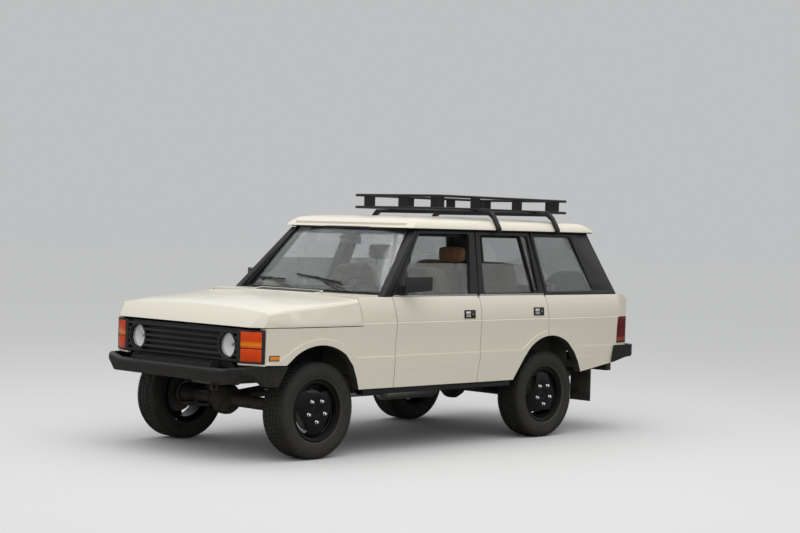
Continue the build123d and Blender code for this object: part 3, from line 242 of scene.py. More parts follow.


# rough is a range, drift is (scale, amount), relief is (pattern, scale, height in mm), dust is (top, amount),
# pressLine is (height, half width, depth in mm) and paintedGlow is (height, half width, colour) of a painted
# lighter band
finishSettings = {
    "bodyCream": dict(colour=(0.76, 0.715, 0.60), rough=(0.30, 0.33), drift=(1.5, 0.015), coat=0.35,
                      relief=("speckle", 90, 0.03), dust=(0.62, 0.12), pressLine=(0.632, 0.006, 0.6)),
    "trimBlack": dict(colour=(0.011, 0.011, 0.012), rough=(0.36, 0.48), specular=0.3,
                      relief=("speckle", 700, 0.08), drift=(5, 0.2)),
    "vinylBlack": dict(colour=(0.021, 0.021, 0.023), rough=(0.45, 0.58), specular=0.4,
                       relief=("hideGrain", 500, 0.3), drift=(5, 0.2)),
    "grilleBlack": dict(colour=(0.014, 0.0145, 0.016), rough=(0.38, 0.5), specular=0.45,
                        relief=("speckle", 500, 0.1), drift=(6, 0.2)),
    "bumperBlack": dict(colour=(0.010, 0.010, 0.010), rough=(0.4, 0.52), specular=0.3,
                        relief=("speckle", 600, 0.15), drift=(7, 0.25), dust=(0.8, 0.22)),
    "chassisBlack": dict(colour=(0.018, 0.018, 0.017), rough=(0.6, 0.8), relief=("speckle", 120, 0.4),
                         drift=(9, 0.4), dust=(0.9, 0.4)),
    "castGrey": dict(colour=(0.13, 0.125, 0.12), rough=(0.6, 0.75), metal=0.4, relief=("speckle", 260, 0.6),
                     drift=(12, 0.4), dust=(1.0, 0.35)),
    "bareSteel": dict(colour=(0.42, 0.41, 0.4), rough=(0.28, 0.42), metal=0.9, relief=("speckle", 300, 0.1),
                      drift=(20, 0.2)),
    "nutSilver": dict(colour=(0.86, 0.85, 0.83), rough=(0.14, 0.24), metal=1.0, relief=("speckle", 500, 0.03),
                      drift=(30, 0.1)),
    "rimBlack": dict(colour=(0.004, 0.004, 0.004), rough=(0.3, 0.42), specular=0.2,
                     relief=("speckle", 200, 0.05), drift=(8, 0.3)),
    "tyreBlack": dict(colour=(0.017, 0.0165, 0.015), rough=(0.7, 0.86), relief=("speckle", 350, 0.4),
                      drift=(10, 0.35), dust=(0.72, 0.07)),
    "tyreBead": dict(colour=(0.06, 0.048, 0.032), rough=(0.7, 0.85), relief=("speckle", 350, 0.4),
                     drift=(14, 0.4)),
    # the amber lens carries a painted glow: a lighter band at the bulb's height standing in for the lit
    # reflector behind it
    "lensAmber": dict(colour=(0.72, 0.060, 0.001), rough=(0.2, 0.3), coat=0.15, specular=0.25,
                      relief=("weave", 60, 0.4), drift=(9, 0.25), paintedGlow=(0.848, 0.03, (0.95, 0.27, 0.008))),
    "lensMarker": dict(colour=(0.78, 0.26, 0.015), rough=(0.12, 0.2), coat=0.5, relief=("weave", 80, 0.4)),
    # the red lens carries a painted glow: a lighter band at the bulb's height standing in for the lit
    # reflector behind it
    "lensRed": dict(colour=(0.11, 0.005, 0.004), rough=(0.2, 0.3), coat=0.15, specular=0.25,
                    relief=("weave", 60, 0.4), drift=(9, 0.25), paintedGlow=(0.79, 0.03, (0.3, 0.06, 0.02))),
    "reflector": dict(colour=(1.0, 1.0, 1.0), rough=(0.4, 0.5), sheen=0.2, relief=("speckle", 40, 0.1)),
    "seatTan": dict(colour=(0.22, 0.17, 0.10), rough=(0.75, 0.9), sheen=0.3, relief=("weave", 380, 0.3),
                    drift=(6, 0.15)),
    "headrestBrown": dict(colour=(0.25, 0.11, 0.045), rough=(0.5, 0.65), sheen=0.2,
                          relief=("hideGrain", 420, 0.3), drift=(9, 0.2)),
    "cabinDark": dict(colour=(0.035, 0.035, 0.033), rough=(0.5, 0.68), relief=("hideGrain", 380, 0.3)),
    "cabinTan": dict(colour=(0.17, 0.145, 0.10), rough=(0.6, 0.75), relief=("hideGrain", 320, 0.3)),
    "roofLining": dict(colour=(0.30, 0.28, 0.23), rough=(0.85, 0.95), sheen=0.2, relief=("weave", 300, 0.2)),
    "carpet": dict(colour=(0.05, 0.048, 0.04), rough=(0.9, 1.0), sheen=0.3, relief=("speckle", 500, 1.2)),
    "coverOlive": dict(colour=(0.045, 0.055, 0.025), rough=(0.8, 0.92), sheen=0.2,
                       relief=("weave", 300, 0.4)),
    "rubberSheet": dict(colour=(0.016, 0.016, 0.016), rough=(0.6, 0.8), relief=("speckle", 300, 0.3),
                        dust=(0.7, 0.35)),
    "mirrorSilver": dict(colour=(0.9, 0.92, 0.93), rough=(0.02, 0.04), metal=1.0,
                         relief=("speckle", 5, 0.01)),
    "plateBlank": dict(colour=(0.75, 0.75, 0.73), rough=(0.35, 0.45)),
}
glassSettings = {
    "lampGlass": dict(colour=(1.0, 1.0, 1.0), alpha=0.10, rough=0.03, relief=("weave", 22, 0.4)),
    "tintGlass": dict(colour=(0.45, 0.58, 0.56), alpha=0.5),
    # sideGlass and quarterGlass: the green tint is the glass's own, but their colour darker than the
    # windscreen's is painted shade standing in for the shaded cabin seen through them
    "sideGlass": dict(colour=(0.20, 0.24, 0.17), alpha=0.6, specular=0.1),
    "quarterGlass": dict(colour=(0.16, 0.20, 0.19), alpha=0.55, specular=0.5),
}
finishes = {name: makeFinish(name, **settings) for name, settings in finishSettings.items()}
finishes.update({name: makeGlass(name, **settings) for name, settings in glassSettings.items()})
print("finishes made")

# Small steps used by many pieces


def clearSelection():
    if bpy.context.object and bpy.context.object.mode != "OBJECT":
        bpy.ops.object.mode_set(mode="OBJECT")
    bpy.ops.object.select_all(action="DESELECT")


def pick(*pieces):
    clearSelection()
    for piece in pieces:
        piece.select_set(True)
    bpy.context.view_layer.objects.active = pieces[0]


def settle(piece):  # place, turn and scale go into the mesh
    pick(piece)
    bpy.ops.object.transform_apply(location=True, rotation=True, scale=True)


def editAll(piece):
    pick(piece)
    bpy.ops.object.mode_set(mode="EDIT")
    bpy.ops.mesh.select_all(action="SELECT")


def objectMode():
    bpy.ops.object.mode_set(mode="OBJECT")


def useModifier(piece, kind, **settings):
    pick(piece)
    bpy.ops.object.modifier_add(type=kind)
    added = piece.modifiers[-1]
    for key, value in settings.items():
        setattr(added, key, value)
    bpy.ops.object.modifier_apply(modifier=added.name)


def roundEdges(piece, width, steps=2, angle=30):
    useModifier(piece, "BEVEL", width=width, segments=steps, limit_method="ANGLE", angle_limit=radians(angle))


def shade(piece, angle=32, evenly=False):
    pick(piece)
    bpy.ops.object.shade_smooth_by_angle(angle=radians(angle))
    if evenly:
        useModifier(piece, "WEIGHTED_NORMAL", keep_sharp=True)


def facesOut(piece):
    editAll(piece)
    bpy.ops.mesh.remove_doubles(threshold=0.00001)
    bpy.ops.mesh.normals_make_consistent(inside=False)
    objectMode()


def joined(pieces, name):
    pick(*pieces)
    if len(pieces) > 1:
        bpy.ops.object.join()
    made = bpy.context.object
    made.name = name
    return made


def built(parts, name, finishName, body, slotName, *replaced):  # joins, dresses, smooths and places a piece
    made = joined(parts, name)
    dress(made, finishName)
    shade(made)
    place(made, body, slotName, *replaced)
    return made


def copied(piece, name):
    made = piece.copy()
    made.data = piece.data.copy()
    made.name = name
    bpy.context.collection.objects.link(made)
    return made


def otherSide(piece, name):  # the right-hand twin of a left-hand piece
    made = copied(piece, name)
    pick(made)
    made.scale = (-1, 1, 1)
    bpy.ops.object.transform_apply(location=False, rotation=False, scale=True)
    editAll(made)
    bpy.ops.mesh.normals_make_consistent(inside=False)
    objectMode()
    return made


def dress(piece, *names):
    piece.data.materials.clear()
    for name in names:
        piece.data.materials.append(finishes[name])


def paintWhere(piece, number, test):
    for face in piece.data.polygons:
        if test(face.center, face.normal):
            face.material_index = number


def place(piece, body, slotName, *replaced):  # rides on its body and stands for its nodes
    piece.data.name = piece.name
    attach(piece, body)
    if replaced:
        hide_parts(*replaced)


def cubeAt(low, high, rounding=0.0, steps=2):
    clearSelection()
    middle = [(a + b) / 2 for a, b in zip(low, high)]
    bpy.ops.mesh.primitive_cube_add(size=1, location=middle, scale=[b - a for a, b in zip(low, high)])
    made = bpy.context.object
    settle(made)
    if rounding:
        roundEdges(made, rounding, steps)
    return made


def discAt(centre, radius, depth, axis="X", sides=32, rounding=0.0):
    clearSelection()
    turns = {"X": (0, radians(90), 0), "Y": (radians(90), 0, 0), "Z": (0, 0, 0)}
    bpy.ops.mesh.primitive_cylinder_add(vertices=sides, radius=radius, depth=depth, location=centre,
                                        rotation=turns[axis])
    made = bpy.context.object
    settle(made)
    if rounding:
        roundEdges(made, rounding, 2)
    return made


def chain(points):  # a run of edges through the points, left open in edit mode
    clearSelection()
    bpy.ops.mesh.primitive_plane_add(size=0.01, location=points[0])
    made = bpy.context.object
    settle(made)
    editAll(made)
    bpy.ops.mesh.select_mode(type="VERT")
    bpy.ops.mesh.merge(type="CENTER")
    for before, after in zip(points, points[1:]):
        step = [b - a for a, b in zip(before, after)]
        bpy.ops.mesh.extrude_region_move(TRANSFORM_OT_translate={"value": step})
    return made


def plate(points, run):  # a flat outline given a thickness
    made = chain(points)
    bpy.ops.mesh.select_all(action="SELECT")
    bpy.ops.mesh.edge_face_add()
    bpy.ops.mesh.extrude_region_move(TRANSFORM_OT_translate={"value": run})
    objectMode()
    facesOut(made)
    return made


def turned(profile, centre, steps=72, closedProfile=True, axis=(1, 0, 0)):  # profile as (along, radius)
    x, y, z = centre
    points = []
    for along, radius in profile:
        if axis == (1, 0, 0):
            points.append((x + along, y, z + radius))
        elif axis == (0, 1, 0):
            points.append((x, y + along, z + radius))
        else:
            points.append((x + radius, y, z + along))
    if closedProfile:
        points.append(points[0])
    made = chain(points)
    bpy.ops.mesh.select_all(action="SELECT")
    bpy.ops.mesh.remove_doubles(threshold=0.00001)
    bpy.ops.mesh.select_all(action="SELECT")
    bpy.ops.mesh.spin(steps=steps, angle=tau, center=centre, axis=axis)
    objectMode()
    facesOut(made)
    return made


def tubeAlong(points, radius, closed=False, sides=4, smooth=True):
    clearSelection()
    bpy.ops.curve.primitive_nurbs_path_add()
    path = bpy.context.object
    path.data.splines.clear()
    run = path.data.splines.new("NURBS" if smooth else "POLY")
    run.points.add(len(points) - 1)
    for point, spot in zip(run.points, points):
        point.co = (*spot, 1)
    if smooth:
        run.order_u = 3
        run.use_endpoint_u = not closed
    run.use_cyclic_u = closed
    run.resolution_u = 6
    path.data.bevel_depth = radius
    path.data.bevel_resolution = sides
    path.data.use_fill_caps = True
    pick(path)
    bpy.ops.object.convert(target="MESH")
    made = bpy.context.object
    settle(made)
    return made


def copyNode(nodeName, pieceName, flat=1.0):  # a clean copy of a CAD node's mesh
    made = bpy.data.objects.new(pieceName, nodes[nodeName].data.copy())
    bpy.context.collection.objects.link(made)
    made.data.materials.clear()
    editAll(made)
    bpy.ops.mesh.remove_doubles(threshold=0.00002)
    bpy.ops.mesh.select_all(action="SELECT")
    bpy.ops.mesh.dissolve_limited(angle_limit=radians(flat))
    objectMode()
    return made


def panelFrom(nodeName, pieceName, width, names, slotName, steps=2, splits=(), flat=1.0):
    made = copyNode(nodeName, pieceName, flat)
    for height in splits:  # a line across the faces, where the finish changes
        editAll(made)
        bpy.ops.mesh.bisect(plane_co=(0, 0, height), plane_no=(0, 0, 1))
        objectMode()
    if width:
        roundEdges(made, width, steps)
    dress(made, *names)
    shade(made, 32, names[0] in ("bodyCream", "bumperBlack"))
    place(made, bodyOfNode[nodeName], slotName, nodeName)
    return made


sides = (("left", 1), ("right", -1))
wheel = {"middle": 0.750, "height": 0.355, "axles": {"front": -1.510, "rear": 1.030},
         "turns": {"front": 0, "rear": 180}, "nutCircle": 0.08255, "pitches": 64, "steps": 72}

# Body panels, from the solids with rolled edges
panels = {"beltLine": 1.181, "cardFace": 0.836, "vinylFoot": 1.262, "vinylFront": 1.45,
          "quarterCuts": (((0, 2.03, 0.600), (0, 0.60, -0.80)), ((0, 1.95, 0.567), (0, 0.75, -0.66)))}
panelRounding = {"bonnet": 0.007, "wing": 0.005, "door": 0.006, "quarter": 0.005, "roof": 0.005,
                 "scuttle": 0.004, "tailgate": 0.004, "posts": 0.003}
arch = {"reach": 0.66, "top": 0.93}
nose = {"corner": (0.775, -2.106, 0.970), "facet": (0.538, -0.755, 0.374), "foldY": -2.020, "foldZ": 1.075,
        "edgeFront": -2.014, "slope": 0.8179, "oldCorners": ((0.714, -2.106, 0.970), (0.702, -2.082, 0.970))}


def pickVertices(piece, test):  # selects the vertices that pass and stays in edit mode
    editAll(piece)
    bpy.ops.mesh.select_mode(type="VERT")
    bpy.ops.mesh.select_all(action="DESELECT")
    objectMode()
    for vertex in piece.data.vertices:
        vertex.select = test(vertex.co)
    bpy.ops.object.mode_set(mode="EDIT")


def trimmed(piece, spot, normal):  # cuts away what lies beyond a plane and closes the cut
    editAll(piece)
    bpy.ops.mesh.bisect(plane_co=spot, plane_no=normal, use_fill=True, clear_outer=True, threshold=0.0003)
    bpy.ops.mesh.select_all(action="SELECT")
    bpy.ops.mesh.remove_doubles(threshold=0.0004)
    bpy.ops.mesh.normals_make_consistent(inside=False)
    objectMode()


def shiftVertices(piece, spot, near, move):  # moves the vertices within a short way of a spot
    pickVertices(piece, lambda vertexSpot: (vertexSpot - spot).length < near)
    bpy.ops.transform.translate(value=move)
    objectMode()


def makeBonnet():
    bonnet = copyNode("bonnet", "bonnetPanel", 0.3)
    widening = nose["corner"][0] - nose["oldCorners"][0][0]
    for sign in (1, -1):
        for x, y, z in nose["oldCorners"]:
            shiftVertices(bonnet, Vector((sign * x, y, z)), 0.003, (sign * widening, 0, 0))
    edgeSpots = [vertex.co.copy() for vertex in bonnet.data.vertices
                 if vertex.co.z > nose["foldZ"] + 0.0005 and vertex.co.y < nose["edgeFront"]]
    for spot in edgeSpots:  # the small upright step above the fold is laid back into the front face
        laidBack = nose["foldY"] + (spot.z - nose["foldZ"]) * nose["slope"]
        shiftVertices(bonnet, spot, 0.0002, (0, laidBack - spot.y, 0))
    (cornerX, *corner), (facetX, *facet) = nose["corner"], nose["facet"]
    for sign in (1, -1):
        trimmed(bonnet, (sign * cornerX, *corner), (sign * facetX, *facet))
    editAll(bonnet)
    bpy.ops.mesh.remove_doubles(threshold=0.0004)
    bpy.ops.mesh.select_all(action="SELECT")
    bpy.ops.mesh.dissolve_limited(angle_limit=radians(0.5))
    objectMode()
    roundEdges(bonnet, panelRounding["bonnet"], 3)
    dress(bonnet, "bodyCream")
    shade(bonnet, 25)
    place(bonnet, bodyOfNode["bonnet"], "body_paint", "bonnet")


makeBonnet()
panelFrom("scuttle_panel", "scuttlePanel", panelRounding["scuttle"], ["bodyCream"], "body_paint")
roof = panelFrom("roof_panel", "roofPanel", panelRounding["roof"], ["bodyCream", "roofLining"], "body_paint",
                 flat=0.3)
paintWhere(roof, 1, lambda centre, normal: normal.z < -0.3)
panelFrom("tailgate_lower", "dropTailgate", panelRounding["tailgate"], ["bodyCream"], "body_paint")
panelFrom("tailgate_upper", "hatchFrame", panelRounding["tailgate"], ["trimBlack"], "black_paint")


def sealArch(piece, across, axleY):  # black under-seal on the arch's return and on the inside behind it
    def hidden(centre, normal):
        spoke = Vector((0, centre.y - axleY, centre.z - wheel["height"]))
        near = spoke.length < arch["reach"] and centre.z < arch["top"]
        facesWheel = normal.dot(spoke.normalized()) < -0.35 and abs(normal.x) < 0.75
        return near and (facesWheel or normal.x * across < -0.6)
    paintWhere(piece, len(piece.data.materials) - 1, hidden)


for side, sign in sides:
    wing = panelFrom(f"front_wing_{side}", f"frontWing_{side}", panelRounding["wing"],
                     ["bodyCream", "chassisBlack"], "body_paint")
    sealArch(wing, sign, wheel["axles"]["front"])
    quarter = copyNode(f"rear_quarter_{side}", f"rearQuarter_{side}")
    for spot, normal in panels["quarterCuts"]:
        trimmed(quarter, spot, normal)
    roundEdges(quarter, panelRounding["quarter"])
    dress(quarter, "bodyCream", "chassisBlack")
    sealArch(quarter, sign, wheel["axles"]["rear"])
    shade(quarter, 32, True)
    place(quarter, bodyOfNode[f"rear_quarter_{side}"], "body_paint", f"rear_quarter_{side}")
    for end in ("front", "rear"):
        door = panelFrom(f"door_{end}_{side}", f"{end}Door_{side}", panelRounding["door"],
                         ["bodyCream", "trimBlack", "cabinTan"], "body_paint", splits=(panels["beltLine"],))
        paintWhere(door, 1, lambda centre, normal: centre.z > panels["beltLine"])
        paintWhere(door, 2, lambda centre, normal: centre.z < panels["beltLine"]
                   and abs(centre.x) < panels["cardFace"])
        if end == "rear":
            door.data.materials.append(finishes["chassisBlack"])
            sealArch(door, 0, wheel["axles"]["rear"])
    posts = panelFrom(f"body_frame_{side}", f"bodyPosts_{side}", panelRounding["posts"],
                      ["trimBlack", "vinylBlack"], "black_paint", splits=(panels["vinylFoot"],))
    paintWhere(posts, 1, lambda centre, normal: centre.y > panels["vinylFront"]
               and centre.z > panels["vinylFoot"] and abs(normal.x) > 0.5)
print("body panels done")

# Pieces that keep their solid's shape, with broken edges: node, piece, rounding, finish and slot
plainPieces = [
    ("front_bumper", "frontBumper", 0.006, "bumperBlack", "black_paint"),
    ("rear_bumper", "rearBumper", 0.006, "bumperBlack", "black_paint"),
    ("grille", "grilleMoulding", 0.0025, "grilleBlack", "grille_plastic"),
    ("corner_lamps", "cornerLamps", 0.003, "lensAmber", "amber_lens"),
    ("tail_lamps", "tailLamps", 0.004, "lensRed", "red_lens"),
    ("inner_wings", "innerWings", 0.002, "chassisBlack", "chassis_paint"),
    ("floor_pan", "floorPan", 0.002, "carpet", "chassis_paint"),
    ("chassis_frame", "chassisRails", 0.005, "chassisBlack", "chassis_paint"),
    ("fuel_tank", "fuelTank", 0.02, "chassisBlack", "chassis_paint"),
    ("exhaust", "exhaustPipe", 0.006, "bareSteel", "steel"),
    ("driveline", "driveline", 0.006, "castGrey", "cast_metal"),
    ("engine", "engineBlock", 0.01, "castGrey", "cast_metal"),
    ("front_axle", "frontAxle", 0.0, "chassisBlack", "chassis_paint"),
    ("rear_axle", "rearAxle", 0.0, "chassisBlack", "chassis_paint"),
    ("knuckle_left", "knuckle_left_dressed", 0.0, "castGrey", "cast_metal"),
    ("knuckle_right", "knuckle_right_dressed", 0.0, "castGrey", "cast_metal"),
    ("track_rod", "trackRod", 0.002, "chassisBlack", "chassis_paint"),
    ("mud_flaps", "mudFlaps", 0.002, "rubberSheet", "rubber_sheet"),
    ("dashboard", "dashboardMoulding", 0.012, "cabinDark", "dark_trim"),
    ("spare_wheel", "spareCover", 0.03, "coverOlive", "cover_cloth"),
    ("rack_bars", "basketBars", 0.003, "trimBlack", "black_paint"),
    ("mirror_left", "doorMirror_left", 0.014, "grilleBlack", "grille_plastic"),
    ("mirror_right", "doorMirror_right", 0.014, "grilleBlack", "grille_plastic"),
]
for nodeName, pieceName, width, finishName, slotName in plainPieces:
    panelFrom(nodeName, pieceName, width, [finishName], slotName, 3 if width > 0.01 else 2)

panes = {"sideX": 0.6, "quarterY": 1.2}
for nodeName in ("fixed_glass", "tailgate_glass", "glass_front_left", "glass_front_right", "glass_rear_left",
                 "glass_rear_right"):
    pane = panelFrom(nodeName, f"{nodeName}_pane", 0.0, ["tintGlass", "sideGlass", "quarterGlass"],
                     "clear_glass", flat=0.2)
    paintWhere(pane, 1, lambda centre, normal: abs(centre.x) > panes["sideX"] and nodeName != "fixed_glass")
    paintWhere(pane, 2, lambda centre, normal: abs(centre.x) > panes["sideX"]
               and centre.y > panes["quarterY"])
print("solids dressed")

# Wheels: a barrel with a three-window dish, bright nuts and a treaded tyre, each made once at the origin
rimWindow = {"chord": [(0.098, 0.139), (0.050, 0.132), (0, 0.130), (-0.050, 0.132), (-0.098, 0.139)],
             "radius": 0.188, "spread": 40}
treadRows = [
    [(-0.0170, -0.0120), (0.0050, -0.0150), (0.0170, -0.0060), (0.0170, 0.0100), (-0.0050, 0.0140),
     (-0.0170, 0.0050)],
    [(0.0225, -0.0135), (0.0480, -0.0095), (0.0520, 0.0050), (0.0380, 0.0125), (0.0260, 0.0095)],
    [(0.0575, -0.0100), (0.0840, -0.0130), (0.0870, 0.0080), (0.0700, 0.0120), (0.0600, 0.0070)]]
tread = {"foot": 0.344, "block": 0.0095, "lug": 0.0115, "bead": (0.232, 0.2415)}
barrelProfile = [
    (-0.102, 0.225), (-0.093, 0.225), (-0.085, 0.206), (0.085, 0.206), (0.093, 0.225), (0.100, 0.225),
    (0.102, 0.222), (0.099, 0.2185), (0.092, 0.216), (0.088, 0.209), (0.086, 0.2015), (0.074, 0.1995),
    (0.071, 0.1965), (0.058, 0.1945), (0.050, 0.184), (-0.070, 0.184), (-0.088, 0.196), (-0.102, 0.216)]
dishProfile = [
    (0.0935, 0.030), (0.0965, 0.036), (0.0975, 0.060), (0.0975, 0.106), (0.0955, 0.119), (0.089, 0.142),
    (0.081, 0.166), (0.074, 0.184), (0.066, 0.1945), (0.056, 0.1955), (0.056, 0.1915), (0.064, 0.189),
    (0.070, 0.181), (0.077, 0.164), (0.085, 0.140), (0.0915, 0.117), (0.0935, 0.104), (0.0935, 0.060),
    (0.0905, 0.030)]


def cutWith(piece, cutter):
    useModifier(piece, "BOOLEAN", operation="DIFFERENCE", solver="EXACT", object=cutter)
    pick(cutter)
    bpy.ops.object.delete()


def repeatRound(piece, count):
    editAll(piece)
    bpy.ops.mesh.spin(steps=count - 1, dupli=True, angle=tau * (count - 1) / count, center=(0, 0, 0),
                      axis=(1, 0, 0))
    objectMode()


def turnedBy(piece, angle, centre=(0, 0, 0)):
    pick(piece)
    bpy.ops.transform.rotate(value=angle, orient_axis="X", center_override=centre)
    settle(piece)


def makeRim():
    barrel = turned(barrelProfile, (0, 0, 0), wheel["steps"])
    dish = turned(dishProfile, (0, 0, 0), wheel["steps"])
    spread, radius = rimWindow["spread"], rimWindow["radius"]
    rounded = [(radius * sin(radians(a)), radius * cos(radians(a))) for a in range(-spread, spread + 1, 8)]
    windowPlate = plate([(0.02, y, z) for y, z in rimWindow["chord"] + rounded], (0.1, 0, 0))
    repeatRound(windowPlate, 3)
    cutWith(dish, windowPlate)
    roundEdges(dish, 0.0016, 2, 45)
    hub = turned([(0.060, 0.0), (0.060, 0.029), (0.092, 0.029), (0.0955, 0.026), (0.0965, 0.020),
                  (0.0965, 0.0)], (0, 0, 0), 40, False)
    valve = discAt((0.080, 0.0, 0.176), 0.004, 0.030, "X", 12, 0.001)
    turnedBy(valve, radians(75))
    made = joined([dish, barrel, hub, valve], "rimPainted")
    dress(made, "rimBlack")
    shade(made, 28)
    return made


def makeNuts():
    spot = (0, 0, -wheel["nutCircle"])
    nut = turned([(0.096, 0.0), (0.096, 0.0165), (0.0985, 0.0165), (0.1005, 0.0135), (0.1035, 0.013),
                  (0.111, 0.0125), (0.1155, 0.0095), (0.117, 0.0045), (0.117, 0.0)], spot, 6, False)
    roundEdges(nut, 0.0007, 1, 20)
    dress(nut, "nutSilver")
    seat = turned([(0.0965, 0.0165), (0.0985, 0.0185), (0.0985, 0.0215), (0.0965, 0.0235)], spot, 24)
    dress(seat, "rimBlack")
    made = joined([nut, seat], "wheelNuts")
    repeatRound(made, 5)
    shade(made, 40)
    return made


def makeTyre():
    half = [(0.092, 0.2285), (0.103, 0.2335), (0.1065, 0.2365), (0.1080, 0.2405), (0.1072, 0.2445),
            (0.1105, 0.2500), (0.1145, 0.2600), (0.1165, 0.2740), (0.1168, 0.2860), (0.1160, 0.2960),
            (0.1166, 0.2985), (0.1160, 0.3010), (0.1145, 0.3110), (0.1110, 0.3220), (0.1070, 0.3320),
            (0.1010, 0.3395), (0.0920, 0.3435), (0.0500, 0.3455)]
    profile = half + [(0, 0.346)] + [(-x, r) for x, r in half[::-1]]
    carcass = turned(profile, (0, 0, 0), 96)
    dress(carcass, "tyreBlack", "tyreBead")
    inner, outer = tread["bead"]
    paintWhere(carcass, 1, lambda centre, normal: inner < Vector((centre.y, centre.z)).length < outer)
    pitch = tau * wheel["height"] / wheel["pitches"]
    blocks = []
    for outline in treadRows:  # every row but the middle one has a mirrored twin half a pitch on
        blocks.append(plate([(x, y, tread["foot"]) for x, y in outline], (0, 0, tread["block"])))
        if outline[0][0] > 0:
            twin = [(-x, y - pitch / 2, tread["foot"]) for x, y in outline]
            blocks.append(plate(twin, (0, 0, tread["block"])))
    for sign in (1, -1):
        for shift, reach in ((-pitch / 4, 0.322), (pitch / 4, 0.334)):
            along = shift if sign > 0 else shift + pitch / 3
            low = 0.1125 if reach < 0.33 else 0.1075
            lug = [(0.0895, 0.342), (0.0895, 0.3530), (0.0985, 0.3500), (0.1055, 0.3435),
                   (low + 0.0015, reach), (low - 0.006, reach - 0.002)]
            blocks.append(plate([(sign * x, along - 0.0055, z) for x, z in lug], (0, tread["lug"], 0)))
    onePitch = joined(blocks, "treadPitch")
    dress(onePitch, "tyreBlack")
    repeatRound(onePitch, wheel["pitches"])
    made = joined([carcass, onePitch], "tyreRubber")
    shade(made, 30)
    return made


def placedWheel(source, name, side, axleY, turn):
    made = copied(source, name)
    pick(made)
    made.rotation_euler = (radians(turn), 0, 0 if side > 0 else radians(180))
    made.location = (side * wheel["middle"], axleY, wheel["height"])
    settle(made)
    return made


rimSource, nutSource, tyreSource = makeRim(), makeNuts(), makeTyre()
for end in ("front", "rear"):
    for side, sign in sides:
        body, axleY = f"wheel_{end}_{side}", wheel["axles"][end]
        rim = placedWheel(rimSource, f"rimPainted_{end}_{side}", sign, axleY, wheel["turns"][end])
        place(rim, body, "rim_paint", f"rim_{end}_{side}")
        place(placedWheel(nutSource, f"wheelNuts_{end}_{side}", sign, axleY, 0), body, "steel")
        tyre = placedWheel(tyreSource, f"tyreRubber_{end}_{side}", sign, axleY, 0)
        place(tyre, body, "tyre_rubber", f"tyre_{end}_{side}")
pick(rimSource, nutSource, tyreSource)
bpy.ops.object.delete()
print("wheels done")

# Plates that follow the left-hand skin, from outlines of (y, z)
skins = {}


def skinAt(nodeName, y, z):
    if nodeName not in skins:
        mesh = nodes[nodeName].data
        skins[nodeName] = BVHTree.FromPolygons([vertex.co.copy() for vertex in mesh.vertices],
                                               [face.vertices[:] for face in mesh.polygons])
    return skins[nodeName].ray_cast(Vector((2, y, z)), Vector((-1, 0, 0)))[0].x


def skinPlate(nodeName, outline, proud, depth=0.003, rounding=0.001):
    made = plate([(skinAt(nodeName, y, z) - depth, y, z) for y, z in outline], (proud + depth, 0, 0))
    if rounding:
        roundEdges(made, rounding, 2, 40)
    return made


def oblong(y, z, long, high):
    front, rear, bottom, top = y - long / 2, y + long / 2, z - high / 2, z + high / 2
    return [(front, bottom), (rear, bottom), (rear, top), (front, top)]


def bothSides(made, name, body, slotName):  # places a left-hand piece and its twin
    made.name = f"{name}_left"
    shade(made)
    place(made, body.format("left"), slotName)
    twin = otherSide(made, f"{name}_right")
    shade(twin)
    place(twin, body.format("right"), slotName)


# Headlamps: domed glass over a bright bowl in a thin ring
headlamp = {"x": 0.530, "rim": -2.050, "z": 0.832, "steps": 56}
lampParts = {
    "glass": ("lampGlass", [
        (-0.024, 0.0845), (-0.031, 0.0815), (-0.038, 0.066), (-0.042, 0.042), (-0.044, 0.0), (-0.041, 0.0),
        (-0.039, 0.041), (-0.035, 0.064), (-0.028, 0.079), (-0.022, 0.0825)]),
    "bowl": ("reflector", [
        (-0.019, 0.083), (-0.004, 0.076), (0.008, 0.062), (0.017, 0.040), (0.020, 0.016), (0.020, 0.0),
        (0.023, 0.0), (0.023, 0.018), (0.020, 0.043), (0.011, 0.066), (-0.002, 0.080), (-0.018, 0.0855)]),
    "ring": ("bareSteel", [
        (-0.030, 0.0835), (-0.033, 0.0855), (-0.031, 0.0878), (-0.016, 0.0878), (-0.016, 0.0858),
        (-0.028, 0.0850)]),
    "can": ("trimBlack", [
        (-0.015, 0.087), (-0.004, 0.087), (0.002, 0.079), (0.016, 0.060), (0.026, 0.050), (0.032, 0.048),
        (0.032, 0.0), (0.025, 0.0), (0.024, 0.044), (0.012, 0.066), (-0.001, 0.081)]),
    "cap": ("bareSteel", [(-0.006, 0.0), (-0.005, 0.008), (0.002, 0.012), (0.019, 0.012), (0.019, 0.0)]),
}


def makeHeadlamps():
    glassParts, bowlParts = [], []
    for sign in (1, -1):
        centre = (sign * headlamp["x"], headlamp["rim"], headlamp["z"])
        for partName, (finishName, profile) in lampParts.items():
            part = turned(profile, centre, headlamp["steps"], True, (0, 1, 0))
            dress(part, finishName)
            (glassParts if partName == "glass" else bowlParts).append(part)
    glasses = joined(glassParts, "headlampGlasses")
    shade(glasses, 60)
    place(glasses, shell, "lamp_glass", "headlamps")
    bowls = joined(bowlParts, "headlampBowls")
    shade(bowls, 50)
    place(bowls, shell, "steel", "headlamps")


makeHeadlamps()

# Side markers, door handles, hinges and the strips along the belt
sideTrim = {"marker": (-1.952, 0.753, 0.094, 0.038), "markerLens": (-1.952, 0.753, 0.082, 0.027),
            "handles": (("front", 0.044, 1.037), ("rear", 0.878, 1.047)), "beltLow": 1.1835,
            "beltHigh": 1.1925, "beltEnds": {"front": (-0.775, 0.158), "rear": (0.190, 0.968)},
            "hingeY": -0.792, "hingeHeights": (1.063, 0.711)}
